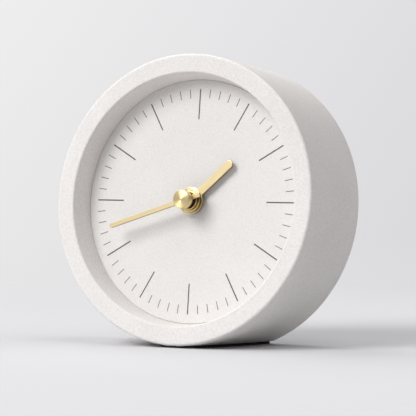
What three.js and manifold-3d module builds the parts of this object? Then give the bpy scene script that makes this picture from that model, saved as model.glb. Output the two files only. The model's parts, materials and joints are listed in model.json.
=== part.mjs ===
// A round desk clock: a drum of pale cast concrete that leans back on a flat under it, with a
// recessed dial, brass hands and a battery quartz movement behind the dial.
// Clock frame: x to the right, y to twelve o'clock, z to the viewer, z = 0 on the dial's face.
// Sizes are millimetres. The outer group leans the clock back and stands it on z = 0.

import * as THREE from "three";
import { mergeVertices } from "three/addons/utils/BufferGeometryUtils.js";
import Module from "manifold-3d";

const wasm = await Module();
wasm.setup();

// Stance, the time shown, and how late the hour hand was pressed on, in degrees
const leanDegrees = 6.7;
const shownHour = 1;
const shownMinute = 42;
const hourHandLag = 2.5;
const minutesPerHour = 60;
const degreesPerMinute = 6;
const degreesPerHour = 30;

// Clearances, and how far a cutting tool passes a face
const seatGap = 0.1;
const runningGap = 0.1;
const wheelBacklash = 0.05;
const coverGap = 0.3;
const dialGap = 0.25;
const cavityClearance = 0.85;
const overcut = 1;

// Number of flats on round pieces and of steps on edges, ends and tooth flanks
const largeFacets = 64;
const hubFacets = 24;
const smallFacets = 12;
const rimEdgeSteps = 2;
const smallEdgeSteps = 1;
const cornerSteps = 1;
const handSteps = 8;
const wheelFlankSteps = 1;
const pinionFlankSteps = 2;

// Movement box and battery
const movementCorner = 3.5;
const movementWall = 1.3;
const trayDepth = 6;
const cellRadius = 7.1;
const cellLength = 49;
const cellNubRadius = 2.6;
const cellNubLength = 1.2;
const cellClearance = 0.3;
const cellEndRoom = 1.6;
const baySlack = 0.45;
const partitionWall = 1.2;
const contactThickness = 0.4;
const contactMargin = 0.3;
const contactDimpleRadius = 1.6;
const leadWidth = 1.5;
const leadOverlap = 4;

// Concrete case
const dialLedge = 3.5;
const recessDraft = 1.25;
const rimWidth = 6.55;
const recessDepth = 8.85;
const rimEdge = 1.2;
const openingEdge = 1.1;
const backEdge = 1.2;
const frontCut = 0.25;

// Base pad
const padThickness = 0.9;
const padInset = 0.8;
const padSetback = 0.8;
const padSteps = 8;

// Dial and what holds it
const dialThickness = 2.5;
const tapeThickness = 0.5;
const tapeWidth = 2.4;
const rubberThickness = 0.7;
const rubberRadius = 8.5;

// Rear cover, its screws and the battery door
const rearSpace = 4.8;
const coverThickness = 2.4;
const coverRecess = 0.4;
const coverLedge = 5.6;
const screwAngles = [90, 210, 330];
const screwRadius = 1.2;
const screwHeadRadius = 2.3;
const screwHeadHeight = 1.2;
const screwSlotWidth = 0.6;
const screwSlotDepth = 0.6;
const screwReach = 4;
const insertWall = 0.45;
const insertLength = 5;
const doorSeatDepth = 1.2;
const doorLedge = 1.5;
const doorCorner = 2;
const windowMargin = 1;
const fingerRadius = 6;

// Hub, from the arbor outwards and from the dial forwards
const arborRadius = 1.5;
const arborNeckRadius = 1.2;
const pipeWall = 0.85;
const bushWall = 0.8;
const bushFlange = 1.4;
const bushFlangeThickness = 0.5;
const nutWall = 0.9;
const nutWasherRim = 0.15;
const nutWasherThickness = 0.3;
const nutHeight = 0.8;
const handGap = 0.2;
const pipeProud = 0.3;

// Hands
const hourLength = 20.5;
const hourWidth = 2.7;
const hourThickness = 0.9;
const hourHubRadius = 4.75;
const collarStepRadii = [4.1, 3.4];
const collarStepHeight = 0.9;
const minuteClearance = 1.3;
const minuteLength = 31.2;
const minuteWidth = 1.55;
const minuteThickness = 0.9;
const minuteBossRadius = 2.7;
const minuteTail = 6.1;
const knobRadius = 3.2;
const knobHeight = 2.4;
const knobConeHeight = 0.3;
const knobChamfer = 0.3;
const knobBoreDepth = 1.7;
const knobGrooves = 2;
const knobGrooveDepth = 0.2;
const knobGrooveWidth = 0.3;

// Wheels: teeth, modules and where they lie
const pressureAngle = THREE.MathUtils.degToRad(20);
const addendum = 0.8;
const dedendum = 1.05;
const profileShift = 0.5;
const pinionTeeth = 8;
const cannonTeeth = 10;
const motionTeeth = 30;
const hourTeeth = 32;
const setTeeth = 10;
const centreTeeth = 64;
const thirdTeeth = 60;
const fourthTeeth = 48;
const fifthTeeth = 40;
const motionModule = 0.36;
const centreModule = 0.25;
const fourthModule = 0.27;
const fifthModule = 0.28;
const motionAngle = THREE.MathUtils.degToRad(180);
const setAngle = THREE.MathUtils.degToRad(180);
const thirdAngle = THREE.MathUtils.degToRad(0);
const fifthAngle = THREE.MathUtils.degToRad(120);
const rotorAngle = THREE.MathUtils.degToRad(100);
const firstWheelGap = 0.4;
const wheelThickness = 1;
const wheelGap = 0.55;
const wheelArborRadius = 0.7;
const pivotRadius = 0.45;
const pivotDepth = 0.6;
const studRadius = 0.8;
const clutchWall = 0.9;
const clutchProud = 0.3;
const setKnobRadius = 5.4;
const setKnobRibs = 16;
const setKnobRibDepth = 0.4;
const setShaftRadius = 1.5;

// Bridge that carries the inner pivots
const bridgeThickness = 1;
const bridgeMargin = 3.2;
const bridgeBelow = 9.6;
const bridgeClearance = 0.8;
const bridgeBeyondThird = 5.5;
const bridgeCorner = 3;
const postRadius = 1.2;
const postInset = 3;

// Stepping motor
const magnetRadius = 2.4;
const magnetGap = 0.6;
const airGap = 0.5;
const statorMargin = 4.2;
const statorArm = 3.1;
const statorThickness = 1;
const coilLength = 20;
const coilRadius = 3;
const flangeRadius = 3.6;
const flangeThickness = 0.8;
const bobbinWall = 0.4;
const coilSpacing = 0.6;
const coreWidth = 2.4;
const coreThickness = 1;
const coreOverhang = 3.5;
const bossRadius = 1.4;

// Circuit board
const boardWidth = 8.5;
const boardHeight = 28;
const boardThickness = 1;
const boardMargin = 0.1;
const crystalRadius = 1;
const crystalLength = 6;
const crystalInset = 5.5;
const crystalRise = 17;
const chipRadius = 2.4;
const chipHeight = 1;
const chipShoulder = 0.8;
const chipInset = 4.2;
const chipRise = 8;

// Movement box: its width from the cell, its height from the wheels and the cell bay under them
const cellHalf = (cellLength + cellNubLength) / 2;
const bayHeight = 2 * (cellRadius + baySlack);
const insideHalfWidth = cellHalf + cellEndRoom;
const insideHalfHeight = bridgeBelow + bridgeClearance + partitionWall + bayHeight;
const movementHalfWidth = insideHalfWidth + movementWall;
const movementHalfHeight = insideHalfHeight + movementWall;

// Radii worked out from the sizes above
const lean = THREE.MathUtils.degToRad(leanDegrees);
const cornerReach =
  Math.hypot(movementHalfWidth - movementCorner, movementHalfHeight - movementCorner) + movementCorner;
const cavityRadius = cornerReach + cavityClearance;
const dialSeatRadius = cavityRadius + dialLedge;
const openingRadius = dialSeatRadius + recessDraft;
const caseRadius = openingRadius + rimWidth;
const coverSeatRadius = cavityRadius + coverLedge;
const screwCircle = cavityRadius + coverLedge / 2;
const insertBore = screwRadius + runningGap;
const insertRadius = insertBore + insertWall;
const pipeBore = arborRadius + runningGap;
const pipeRadius = pipeBore + pipeWall;
const bushBore = pipeRadius + runningGap;
const bushRadius = bushBore + bushWall;
const nutBore = bushRadius + seatGap;
const nutRadius = nutBore + nutWall;
const pivotBore = pivotRadius + runningGap;

// Levels along the clock's axis
const dialBack = -dialThickness;
const ledgeLevel = dialBack - tapeThickness - 2 * seatGap;
const movementFront = dialBack - rubberThickness - 2 * seatGap;
const movementThickness = movementWall + 2 * (cellRadius + cellClearance);
const movementBack = movementFront - movementThickness;
const trayInside = movementFront - movementWall;
const trayBack = movementFront - trayDepth;
const rearInside = movementBack + movementWall;
const coverInner = movementBack - rearSpace;
const coverOuter = coverInner - coverThickness;
const caseBack = coverOuter - coverRecess;
const nutFront = nutWasherThickness + nutHeight + 2 * seatGap;
const hourBack = nutFront + handGap;
const hourFront = hourBack + hourThickness;
const collarBack = hourFront + seatGap;
const collarFront = collarBack + collarStepRadii.length * collarStepHeight;
const pipeFront = collarFront + pipeProud;
const minuteBack = collarFront + minuteClearance;
const minuteFront = minuteBack + minuteThickness;
const knobBack = minuteFront + seatGap;
const bridgeFront = wheelLevel(3).front;
const bridgeBack = bridgeFront - bridgeThickness;
const hourLevel = wheelLevel(0);
const motionLevel = wheelLevel(1);
const centreLevel = wheelLevel(2);
const thirdLevel = wheelLevel(3, bridgeThickness + wheelGap);
const fourthLevel = wheelLevel(4, bridgeThickness + wheelGap);
const fifthLevel = wheelLevel(5, bridgeThickness + wheelGap);
const pivotFrontEnd = trayInside + pivotDepth;
const pivotBackEnd = rearInside - pivotDepth;

// Wheel centres
const motionDistance = (motionModule * (cannonTeeth + motionTeeth)) / 2;
const setDistance = (motionModule * (motionTeeth + setTeeth)) / 2;
const thirdDistance = (centreModule * (centreTeeth + pinionTeeth)) / 2;
const fifthDistance = (fourthModule * (fourthTeeth + pinionTeeth)) / 2;
const rotorDistance = (fifthModule * (fifthTeeth + pinionTeeth)) / 2;
const hourModule = (2 * motionDistance) / (hourTeeth + pinionTeeth);
const thirdModule = (2 * thirdDistance) / (thirdTeeth + pinionTeeth);
const axis = new THREE.Vector2(0, 0);
const motionCentre = stepFrom(axis, motionDistance, motionAngle);
const setCentre = stepFrom(motionCentre, setDistance, setAngle);
const thirdCentre = stepFrom(axis, thirdDistance, thirdAngle);
const fifthCentre = stepFrom(axis, fifthDistance, fifthAngle);
const rotorCentre = stepFrom(fifthCentre, rotorDistance, rotorAngle);

// Turns that bring the teeth into mesh, from each driver to the wheel that it drives
const motionPhase = meshPhase(0, cannonTeeth, motionTeeth, motionAngle);
const hourPhase = meshPhase(0, pinionTeeth, hourTeeth, motionAngle + Math.PI);
const setPhase = meshPhase(motionPhase, motionTeeth, setTeeth, setAngle);
const fifthPhase = meshPhase(0, pinionTeeth, fifthTeeth, rotorAngle + Math.PI);
const fourthPhase = meshPhase(0, pinionTeeth, fourthTeeth, fifthAngle + Math.PI);
const thirdPhase = meshPhase(0, pinionTeeth, thirdTeeth, thirdAngle);
const centrePhase = meshPhase(0, pinionTeeth, centreTeeth, thirdAngle + Math.PI);

// Battery bay and the room for the wheels
const insideCorner = movementCorner - movementWall;
const bayTop = -insideHalfHeight + bayHeight;
const bayMiddle = bayTop - bayHeight / 2;
const wheelRoomBottom = bayTop + partitionWall;
const cellLevel = movementBack + cellClearance + cellRadius;

// Bridge outline and its posts
const bridgeLeft = setCentre.x - bridgeMargin;
const bridgeRight = thirdCentre.x + bridgeBeyondThird;
const bridgeTop = rotorCentre.y + bridgeMargin;
const postPlaces = [bridgeLeft + postInset, bridgeRight - postInset].flatMap((x) =>
  [-bridgeBelow + postInset, bridgeTop - postInset].map((y) => [x, y]));

// Motor levels and places
const magnetFront = bridgeBack - magnetGap;
const magnetBack = fifthLevel.front + magnetGap;
const statorLevel = (magnetFront + magnetBack) / 2;
const statorFront = statorLevel + statorThickness / 2;
const statorBack = statorFront - statorThickness;
const coreFront = statorBack - seatGap;
const coreBack = coreFront - coreThickness;
const coilLevel = (coreFront + coreBack) / 2;
const bobbinHalf = coilLength / 2 + flangeThickness;
const coreHalf = bobbinHalf + coreOverhang;
const statorTop = rotorCentre.y + statorMargin;
const coilY = statorTop + coilSpacing + flangeRadius;
const bobbinBore = Math.hypot(coreWidth, coreThickness) / 2 + runningGap;
const bobbinRadius = bobbinBore + bobbinWall;

// Board levels
const boardFront = trayInside - seatGap;
const boardBack = boardFront - boardThickness;
const boardRight = insideHalfWidth - insideCorner - boardMargin;
const boardLeft = boardRight - boardWidth;
const boardBottom = wheelRoomBottom + seatGap;
const leadFront = boardBack - seatGap;

// Base flat: its height along the upright, seen from the point on the axis at the dial's face
const upright = new THREE.Vector3(0, Math.cos(lean), Math.sin(lean));
const baseLevel = -(caseRadius - frontCut) * upright.y + (recessDepth - rimEdge) * upright.z;

function wheelLevel(index, extra = 0) {
  const front = trayInside - firstWheelGap - index * (wheelThickness + wheelGap) - extra;
  return { front, back: front - wheelThickness };
}

function stepFrom(start, distance, angle) {
  return new THREE.Vector2(start.x + distance * Math.cos(angle), start.y + distance * Math.sin(angle));
}

function meshPhase(phase, teeth, drivenTeeth, direction) {
  return direction + Math.PI - Math.PI / drivenTeeth + ((direction - phase) * teeth) / drivenTeeth;
}

// Geometry helpers

function toSolid(geometry) {
  const bare = geometry.clone();
  bare.deleteAttribute("normal");
  bare.deleteAttribute("uv");
  const merged = mergeVertices(bare);
  const vertProperties = new Float32Array(merged.attributes.position.array);
  const triVerts = new Uint32Array(merged.index.array);
  return new wasm.Manifold(new wasm.Mesh({ numProp: 3, vertProperties, triVerts }));
}

function toGeometry(solid) {
  const mesh = solid.getMesh();
  const geometry = new THREE.BufferGeometry();
  geometry.setAttribute("position", new THREE.BufferAttribute(mesh.vertProperties, 3));
  geometry.setIndex(new THREE.BufferAttribute(mesh.triVerts, 1));
  geometry.computeVertexNormals();
  return geometry;
}

function join(...geometries) {
  return toGeometry(geometries.map(toSolid).reduce((whole, piece) => whole.add(piece)));
}

function cut(geometry, ...tools) {
  return toGeometry(tools.map(toSolid).reduce((whole, tool) => whole.subtract(tool), toSolid(geometry)));
}

function turned(profile, facets) {
  const points = profile.map(([radius, level]) => new THREE.Vector2(radius, level));
  return new THREE.LatheGeometry(points, facets).rotateX(Math.PI / 2);
}

function rod(radius, back, front, facets = smallFacets) {
  return turned([[0, back], [radius, back], [radius, front], [0, front]], facets);
}

function tube(bore, radius, back, front, facets = hubFacets) {
  return turned([[bore, back], [radius, back], [radius, front], [bore, front], [bore, back]], facets);
}

function roundedBox(left, right, bottom, top, corner, back, front) {
  const shape = new THREE.Shape();
  shape.moveTo(left + corner, bottom);
  shape.absarc(right - corner, bottom + corner, corner, -Math.PI / 2, 0);
  shape.absarc(right - corner, top - corner, corner, 0, Math.PI / 2);
  shape.absarc(left + corner, top - corner, corner, Math.PI / 2, Math.PI);
  shape.absarc(left + corner, bottom + corner, corner, Math.PI, 1.5 * Math.PI);
  return plate(shape, back, front, cornerSteps);
}

function block(left, right, bottom, top, back, front) {
  const box = new THREE.BoxGeometry(Math.abs(right - left), top - bottom, front - back);
  return box.translate((left + right) / 2, (bottom + top) / 2, (back + front) / 2);
}

function plate(shape, back, front, curveSegments = handSteps) {
  const options = { depth: front - back, bevelEnabled: false, curveSegments };
  return new THREE.ExtrudeGeometry(shape, options).translate(0, 0, back);
}

function arcPoints(centreRadius, centreLevel, radius, fromDegrees, toDegrees, steps) {
  return Array.from({ length: steps + 1 }, (_, step) => {
    const angle = THREE.MathUtils.degToRad(fromDegrees + ((toDegrees - fromDegrees) * step) / steps);
    return [centreRadius + radius * Math.cos(angle), centreLevel + radius * Math.sin(angle)];
  });
}

function around(angleDegrees, distance) {
  return stepFrom(axis, distance, THREE.MathUtils.degToRad(angleDegrees));
}

// Involute teeth, thinned by the backlash; a positive shift makes a pinion's teeth stout.

function gearShape(teeth, module, shift, phase, flankSteps) {
  const pitchRadius = (module * teeth) / 2;
  const baseRadius = pitchRadius * Math.cos(pressureAngle);
  const rootRadius = pitchRadius - module * (dedendum - shift);
  const tipRadius = pitchRadius + module * (addendum + shift);
  const thickness = module * (Math.PI / 2 + 2 * shift * Math.tan(pressureAngle)) - wheelBacklash / 2;
  const involute = (angle) => Math.tan(angle) - angle;
  const halfTooth = (radius) => {
    const angle = Math.acos(Math.min(1, baseRadius / radius));
    return thickness / (2 * pitchRadius) + involute(pressureAngle) - involute(angle);
  };
  const radii = Array.from({ length: flankSteps + 1 }, (_, step) =>
    rootRadius + ((tipRadius - rootRadius) * step) / flankSteps);
  const points = [];
  for (let tooth = 0; tooth < teeth; tooth += 1) {
    const middle = phase + (2 * Math.PI * tooth) / teeth;
    radii.forEach((radius) => points.push(stepFrom(axis, radius, middle - halfTooth(radius))));
    radii.toReversed().forEach((radius) => points.push(stepFrom(axis, radius, middle + halfTooth(radius))));
  }
  return new THREE.Shape(points);
}

function wheelPlate(teeth, module, phase, level) {
  return plate(gearShape(teeth, module, -profileShift, phase, wheelFlankSteps), level.back, level.front);
}

function pinionPlate(teeth, module, phase, level) {
  return plate(gearShape(teeth, module, profileShift, phase, pinionFlankSteps), level.back, level.front);
}

function pivotedArbor(body, ends) {
  return turned([
    [0, ends.back], [pivotRadius, ends.back], [pivotRadius, body.back], [wheelArborRadius, body.back],
    [wheelArborRadius, body.front], [pivotRadius, body.front], [pivotRadius, ends.front], [0, ends.front],
  ], smallFacets);
}

// Looks

function look(color, roughness, metalness = 0) {
  return new THREE.MeshStandardMaterial({ color, roughness, metalness });
}

const concrete = () => look(0xe6e4e0, 0.85);
const dialFinish = () => look(0xe9e7e3, 0.8);
const brass = () => look(0xc9a25a, 0.3, 1);
const steel = () => look(0x8b8b8d, 0.35, 1);
const darkRubber = () => look(0x1c1c1d, 0.9);
const blackPlastic = () => look(0x1f2022, 0.6);
const whitePlastic = () => look(0xdcdcd6, 0.5);
const redPlastic = () => look(0xb9423a, 0.5);
const foamTape = () => look(0xd8d4c4, 0.7);
const magnetFinish = () => look(0x3a3a3d, 0.5, 0.6);
const copper = () => look(0xb4703c, 0.35, 1);
const boardFinish = () => look(0x2f6b43, 0.5);
const epoxy = () => look(0x141416, 0.35);
const cellJacket = () => look(0x5b6168, 0.4);

// Concrete drum: turned section, base flat cut off below, holes for the screw inserts at the back

function caseShell() {
  const mouthEdge = openingRadius + openingEdge;
  const section = [
    [coverSeatRadius, caseBack],
    ...arcPoints(caseRadius - backEdge, caseBack + backEdge, backEdge, -90, 0, smallEdgeSteps),
    ...arcPoints(caseRadius - rimEdge, recessDepth - rimEdge, rimEdge, 0, 90, rimEdgeSteps),
    ...arcPoints(mouthEdge, recessDepth - openingEdge, openingEdge, 90, 180, smallEdgeSteps),
    [dialSeatRadius, 0],
    [dialSeatRadius, ledgeLevel],
    [cavityRadius, ledgeLevel],
    [cavityRadius, coverInner + seatGap],
    [coverSeatRadius, coverInner + seatGap],
    [coverSeatRadius, caseBack],
  ];
  const holes = screwAngles.map((angle) => {
    const place = around(angle, screwCircle);
    const end = coverInner + insertLength + 3 * seatGap;
    return rod(insertRadius + seatGap, coverInner, end).translate(place.x, place.y, 0);
  });
  return cut(turned(section, largeFacets), belowBase(), ...holes);
}

function belowBase() {
  const size = 4 * caseRadius;
  const middle = upright.clone().multiplyScalar(baseLevel - size / 2);
  return new THREE.BoxGeometry(size, size, size).rotateX(lean).translate(middle.x, middle.y, middle.z);
}

// Pad under the base flat: it follows the flat's outline, which widens to the back with the lean

function basePad() {
  const alongFlat = (level) => (Math.sin(lean) * baseLevel - level) / Math.cos(lean);
  const start = alongFlat(recessDepth - rimEdge - padSetback);
  const end = alongFlat(caseBack + backEdge + padInset);
  const side = Array.from({ length: padSteps + 1 }, (_, step) => {
    const along = start + ((end - start) * step) / padSteps;
    const below = Math.cos(lean) * baseLevel + along * Math.sin(lean);
    return new THREE.Vector2(Math.sqrt(caseRadius ** 2 - below ** 2) - padInset, along);
  });
  const otherSide = side.toReversed().map((point) => new THREE.Vector2(-point.x, point.y));
  const top = baseLevel - seatGap;
  return plate(new THREE.Shape([...side, ...otherSide]), top - padThickness, top).rotateX(lean - Math.PI / 2);
}

// Dial, its tape ring and the fixings at the hub

function dialDisc() {
  return tube(bushRadius + seatGap, dialSeatRadius - dialGap, dialBack, 0, largeFacets);
}

function dialTape() {
  const back = ledgeLevel + seatGap;
  const radius = cavityRadius + tapeWidth + seatGap;
  return tube(cavityRadius + seatGap, radius, back, back + tapeThickness);
}

function threadedBush() {
  const flangeBack = trayInside + seatGap;
  const flangeFront = flangeBack + bushFlangeThickness;
  const flangeRadius = bushRadius + bushFlange;
  return turned([
    [bushBore, flangeBack], [flangeRadius, flangeBack], [flangeRadius, flangeFront],
    [bushRadius, flangeFront], [bushRadius, nutFront], [bushBore, nutFront], [bushBore, flangeBack],
  ], hubFacets);
}

function hubRing(radius, back, thickness) {
  return tube(nutBore, radius, back, back + thickness);
}

// Hands: drawn pointing to twelve and turned to the time shown

function hourHand() {
  const half = hourWidth / 2;
  const hubAngle = Math.asin(half / hourHubRadius);
  const shape = new THREE.Shape();
  shape.absarc(0, hourLength - half, half, 0, Math.PI);
  shape.absarc(0, 0, hourHubRadius, Math.PI / 2 + hubAngle, 2.5 * Math.PI - hubAngle);
  const bore = rod(pipeRadius + seatGap, hourBack - overcut, hourFront + overcut, hubFacets);
  return cut(plate(shape, hourBack, hourFront), bore);
}

function hourCollar() {
  const bore = pipeRadius + seatGap;
  const steps = collarStepRadii.flatMap((radius, step) => [
    [radius, collarBack + step * collarStepHeight],
    [radius, collarBack + (step + 1) * collarStepHeight],
  ]);
  return turned([[bore, collarBack], ...steps, [bore, collarFront], [bore, collarBack]], hubFacets);
}

function minuteHand() {
  const half = minuteWidth / 2;
  const bossAngle = Math.asin(half / minuteBossRadius);
  const shape = new THREE.Shape();
  shape.absarc(0, minuteLength - half, half, 0, Math.PI);
  shape.absarc(0, 0, minuteBossRadius, Math.PI / 2 + bossAngle, 1.5 * Math.PI - bossAngle);
  shape.lineTo(-half, -minuteTail);
  shape.lineTo(half, -minuteTail);
  shape.absarc(0, 0, minuteBossRadius, 1.5 * Math.PI + bossAngle, 2.5 * Math.PI - bossAngle);
  const bore = rod(arborRadius + seatGap, minuteBack - overcut, minuteFront + overcut, hubFacets);
  return cut(plate(shape, minuteBack, minuteFront), bore);
}

function centreKnob() {
  const rim = knobBack + knobHeight;
  const bore = arborRadius + seatGap;
  const boreEnd = knobBack + knobBoreDepth;
  const grooves = Array.from({ length: knobGrooves }, (_, groove) => {
    const middle = knobBack + (knobHeight * (groove + 1)) / (knobGrooves + 1);
    const depth = knobRadius - knobGrooveDepth;
    return [[knobRadius, middle - knobGrooveWidth], [depth, middle], [knobRadius, middle + knobGrooveWidth]];
  });
  return turned([
    [0, boreEnd], [bore, boreEnd], [bore, knobBack], [knobRadius, knobBack], ...grooves.flat(),
    [knobRadius, rim - knobChamfer], [knobRadius - knobChamfer, rim], [0, rim + knobConeHeight],
  ], hubFacets);
}

// Motion work: the arbor with its pinion, the wheel that reduces twelve to one, the hour wheel and its pipe

function minuteArbor() {
  const back = bridgeBack - seatGap;
  const holeEnd = back + 2 * pivotDepth;
  const front = knobBack + knobBoreDepth - seatGap;
  const stem = turned([
    [0, holeEnd], [pivotBore, holeEnd], [pivotBore, back], [arborNeckRadius, back],
    [arborNeckRadius, motionLevel.back], [arborRadius, motionLevel.back], [arborRadius, front], [0, front],
  ], hubFacets);
  return join(stem, pinionPlate(cannonTeeth, motionModule, 0, motionLevel));
}

function motionWheel() {
  const wheel = wheelPlate(motionTeeth, motionModule, motionPhase, motionLevel);
  const reach = { front: hourLevel.front, back: motionLevel.back };
  const bore = rod(studRadius + runningGap, reach.back - overcut, reach.front + overcut);
  return cut(join(wheel, pinionPlate(pinionTeeth, hourModule, 0, reach)), bore);
}

function hourWheel() {
  const wheel = wheelPlate(hourTeeth, hourModule, hourPhase, hourLevel);
  const pipe = rod(pipeRadius, hourLevel.back, pipeFront, hubFacets);
  return cut(join(wheel, pipe), rod(pipeBore, hourLevel.back - overcut, pipeFront + overcut, hubFacets));
}

function timeSetKnob() {
  const points = Array.from({ length: 2 * setKnobRibs }, (_, index) => {
    const radius = setKnobRadius - (index % 2) * setKnobRibDepth;
    return stepFrom(axis, radius, (Math.PI * index) / setKnobRibs);
  });
  const knobFront = movementBack - coverGap;
  const grip = plate(new THREE.Shape(points), coverOuter + seatGap, knobFront);
  const shaft = rod(setShaftRadius, knobFront - overcut, motionLevel.front);
  const pivot = rod(pivotRadius, motionLevel.back, pivotFrontEnd);
  return join(grip, shaft, pinionPlate(setTeeth, motionModule, setPhase, motionLevel), pivot);
}

// Going train: each wheel is moulded with the pinion that drives the next one

function trainWheel(wheel, pinion, ends) {
  const body = {
    front: Math.max(wheel.level.front, pinion.level.front),
    back: Math.min(wheel.level.back, pinion.level.back),
  };
  return join(
    wheelPlate(wheel.teeth, wheel.module, wheel.phase, wheel.level),
    pinionPlate(pinionTeeth, pinion.module, 0, pinion.level),
    pivotedArbor(body, ends),
  );
}

function centreWheel() {
  const wheel = wheelPlate(centreTeeth, centreModule, centrePhase, centreLevel);
  const bore = arborNeckRadius + runningGap;
  const hub = rod(bore + clutchWall, centreLevel.back - clutchProud, centreLevel.front + clutchProud);
  return cut(join(wheel, hub), rod(bore, centreLevel.back - overcut, centreLevel.front + overcut, hubFacets));
}

function thirdWheel() {
  return trainWheel(
    { teeth: thirdTeeth, module: thirdModule, phase: thirdPhase, level: thirdLevel },
    { module: centreModule, level: centreLevel },
    { front: pivotFrontEnd, back: pivotBackEnd },
  );
}

function fourthWheel() {
  return trainWheel(
    { teeth: fourthTeeth, module: fourthModule, phase: fourthPhase, level: fourthLevel },
    { module: thirdModule, level: thirdLevel },
    { front: bridgeBack - seatGap + pivotDepth, back: pivotBackEnd },
  );
}

function fifthWheel() {
  return trainWheel(
    { teeth: fifthTeeth, module: fifthModule, phase: fifthPhase, level: fifthLevel },
    { module: fourthModule, level: fourthLevel },
    { front: bridgeBack + pivotDepth, back: pivotBackEnd },
  );
}

function rotorPinion() {
  const body = { front: magnetFront, back: fifthLevel.back };
  const ends = { front: bridgeBack + pivotDepth, back: pivotBackEnd };
  return join(pinionPlate(pinionTeeth, fifthModule, 0, fifthLevel), pivotedArbor(body, ends));
}

function rotorMagnet() {
  return tube(wheelArborRadius + seatGap, magnetRadius, magnetBack, magnetFront, smallFacets);
}

// Motor: a stator in the shape of a U round the rotor, with the coil across its open end

function stator() {
  const left = rotorCentre.x - coreHalf;
  const right = rotorCentre.x + coreHalf;
  const bottom = rotorCentre.y - statorMargin;
  const top = coilY + coreWidth / 2;
  const shape = new THREE.Shape([
    [left, bottom], [right, bottom], [right, top], [right - statorArm, top], [right - statorArm, statorTop],
    [left + statorArm, statorTop], [left + statorArm, top], [left, top],
  ].map(([x, y]) => new THREE.Vector2(x, y)));
  const hole = new THREE.Path();
  hole.absarc(rotorCentre.x, rotorCentre.y, magnetRadius + airGap, 0, 2 * Math.PI, true);
  shape.holes.push(hole);
  return plate(shape, statorBack, statorFront);
}

function coilCore() {
  const middle = rotorCentre.x;
  const half = coreWidth / 2;
  return block(middle - coreHalf, middle + coreHalf, coilY - half, coilY + half, coreBack, coreFront);
}

function alongCoil(geometry) {
  return geometry.rotateY(Math.PI / 2).translate(rotorCentre.x, coilY, coilLevel);
}

function coilBobbin() {
  const inner = coilLength / 2;
  return alongCoil(turned([
    [bobbinBore, -bobbinHalf], [flangeRadius, -bobbinHalf], [flangeRadius, -inner], [bobbinRadius, -inner],
    [bobbinRadius, inner], [flangeRadius, inner], [flangeRadius, bobbinHalf], [bobbinBore, bobbinHalf],
    [bobbinBore, -bobbinHalf],
  ], smallFacets));
}

function coilWinding() {
  const half = coilLength / 2 - seatGap;
  return alongCoil(tube(bobbinRadius + seatGap, coilRadius, -half, half, smallFacets));
}

// Movement box in two halves, and the bridge between them

function frontCase() {
  const outside = movementOutline(trayBack, movementFront);
  const pockets = movementPockets(trayBack - overcut, trayInside);
  const room = bushRadius + bushFlange + seatGap;
  const roomEnd = trayInside + bushFlangeThickness + 2 * seatGap;
  const counterbore = rod(room, trayInside - overcut, roomEnd, hubFacets);
  const stem = rod(bushRadius + seatGap, trayInside - overcut, movementFront + overcut, hubFacets);
  const sockets = [thirdCentre, setCentre].map((place) =>
    at(place, rod(pivotBore, trayInside - overcut, pivotFrontEnd + seatGap)));
  const slotDepth = insideCorner + seatGap;
  const leadSlots = [-1, 1].map((side) =>
    block(side * insideHalfWidth, side * (insideHalfWidth - slotDepth), bayTop - insideCorner,
      wheelRoomBottom + insideCorner, trayBack - overcut, trayInside));
  const stud = at(motionCentre, rod(studRadius, motionLevel.back + seatGap, trayInside + seatGap));
  const posts = postPlaces.map(([x, y]) =>
    rod(postRadius, bridgeFront + seatGap, trayInside + seatGap).translate(x, y, 0));
  return join(cut(outside, ...pockets, counterbore, stem, ...sockets, ...leadSlots), stud, ...posts);
}

function rearCase() {
  const front = trayBack - seatGap;
  const outside = movementOutline(movementBack, front);
  const [wheelRoom] = movementPockets(rearInside, front + overcut);
  const [, bay] = movementPockets(movementBack - overcut, front + overcut);
  const sockets = [axis, thirdCentre, fifthCentre, rotorCentre].map((place) =>
    at(place, rod(pivotBore, pivotBackEnd - seatGap, rearInside + overcut)));
  const setBore = setShaftRadius + runningGap;
  const setHole = at(setCentre, rod(setBore, movementBack - overcut, rearInside + overcut));
  const bosses = [-1, 1].map((side) => {
    const x = rotorCentre.x + side * (coreHalf - statorArm / 2);
    return rod(bossRadius, rearInside - seatGap, coreBack - seatGap).translate(x, coilY, 0);
  });
  return join(cut(outside, wheelRoom, bay, ...sockets, setHole), ...bosses);
}

function movementOutline(back, front) {
  const [x, y] = [movementHalfWidth, movementHalfHeight];
  return roundedBox(-x, x, -y, y, movementCorner, back, front);
}

function movementPockets(back, front) {
  const [x, y] = [insideHalfWidth, insideHalfHeight];
  return [
    roundedBox(-x, x, wheelRoomBottom, y, insideCorner, back, front),
    roundedBox(-x, x, -y, bayTop, insideCorner, back, front),
  ];
}

function trainBridge() {
  const [left, right, bottom, top] = [bridgeLeft, bridgeRight, -bridgeBelow, bridgeTop];
  const outside = roundedBox(left, right, bottom, top, bridgeCorner, bridgeBack, bridgeFront);
  const pinionTip = centreModule * (pinionTeeth / 2 + addendum + profileShift);
  const bores = [
    [axis, arborNeckRadius + runningGap],
    [thirdCentre, pinionTip + coverGap],
    [setCentre, setShaftRadius + runningGap],
    [fifthCentre, pivotBore],
    [rotorCentre, pivotBore],
  ];
  const holes = bores.map(([place, radius]) =>
    at(place, rod(radius, bridgeBack - overcut, bridgeFront + overcut)));
  return cut(outside, ...holes);
}

function at(place, geometry) {
  return geometry.translate(place.x, place.y, 0);
}

// Circuit board and the battery with its contacts

function circuitBoard() {
  return block(boardLeft, boardRight, boardBottom, boardBottom + boardHeight, boardBack, boardFront);
}

function quartzCrystal() {
  const half = crystalLength / 2;
  const level = boardBack - seatGap - crystalRadius;
  const can = rod(crystalRadius, -half, half).rotateX(Math.PI / 2);
  return can.translate(boardLeft + crystalInset, boardBottom + crystalRise, level);
}

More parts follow.
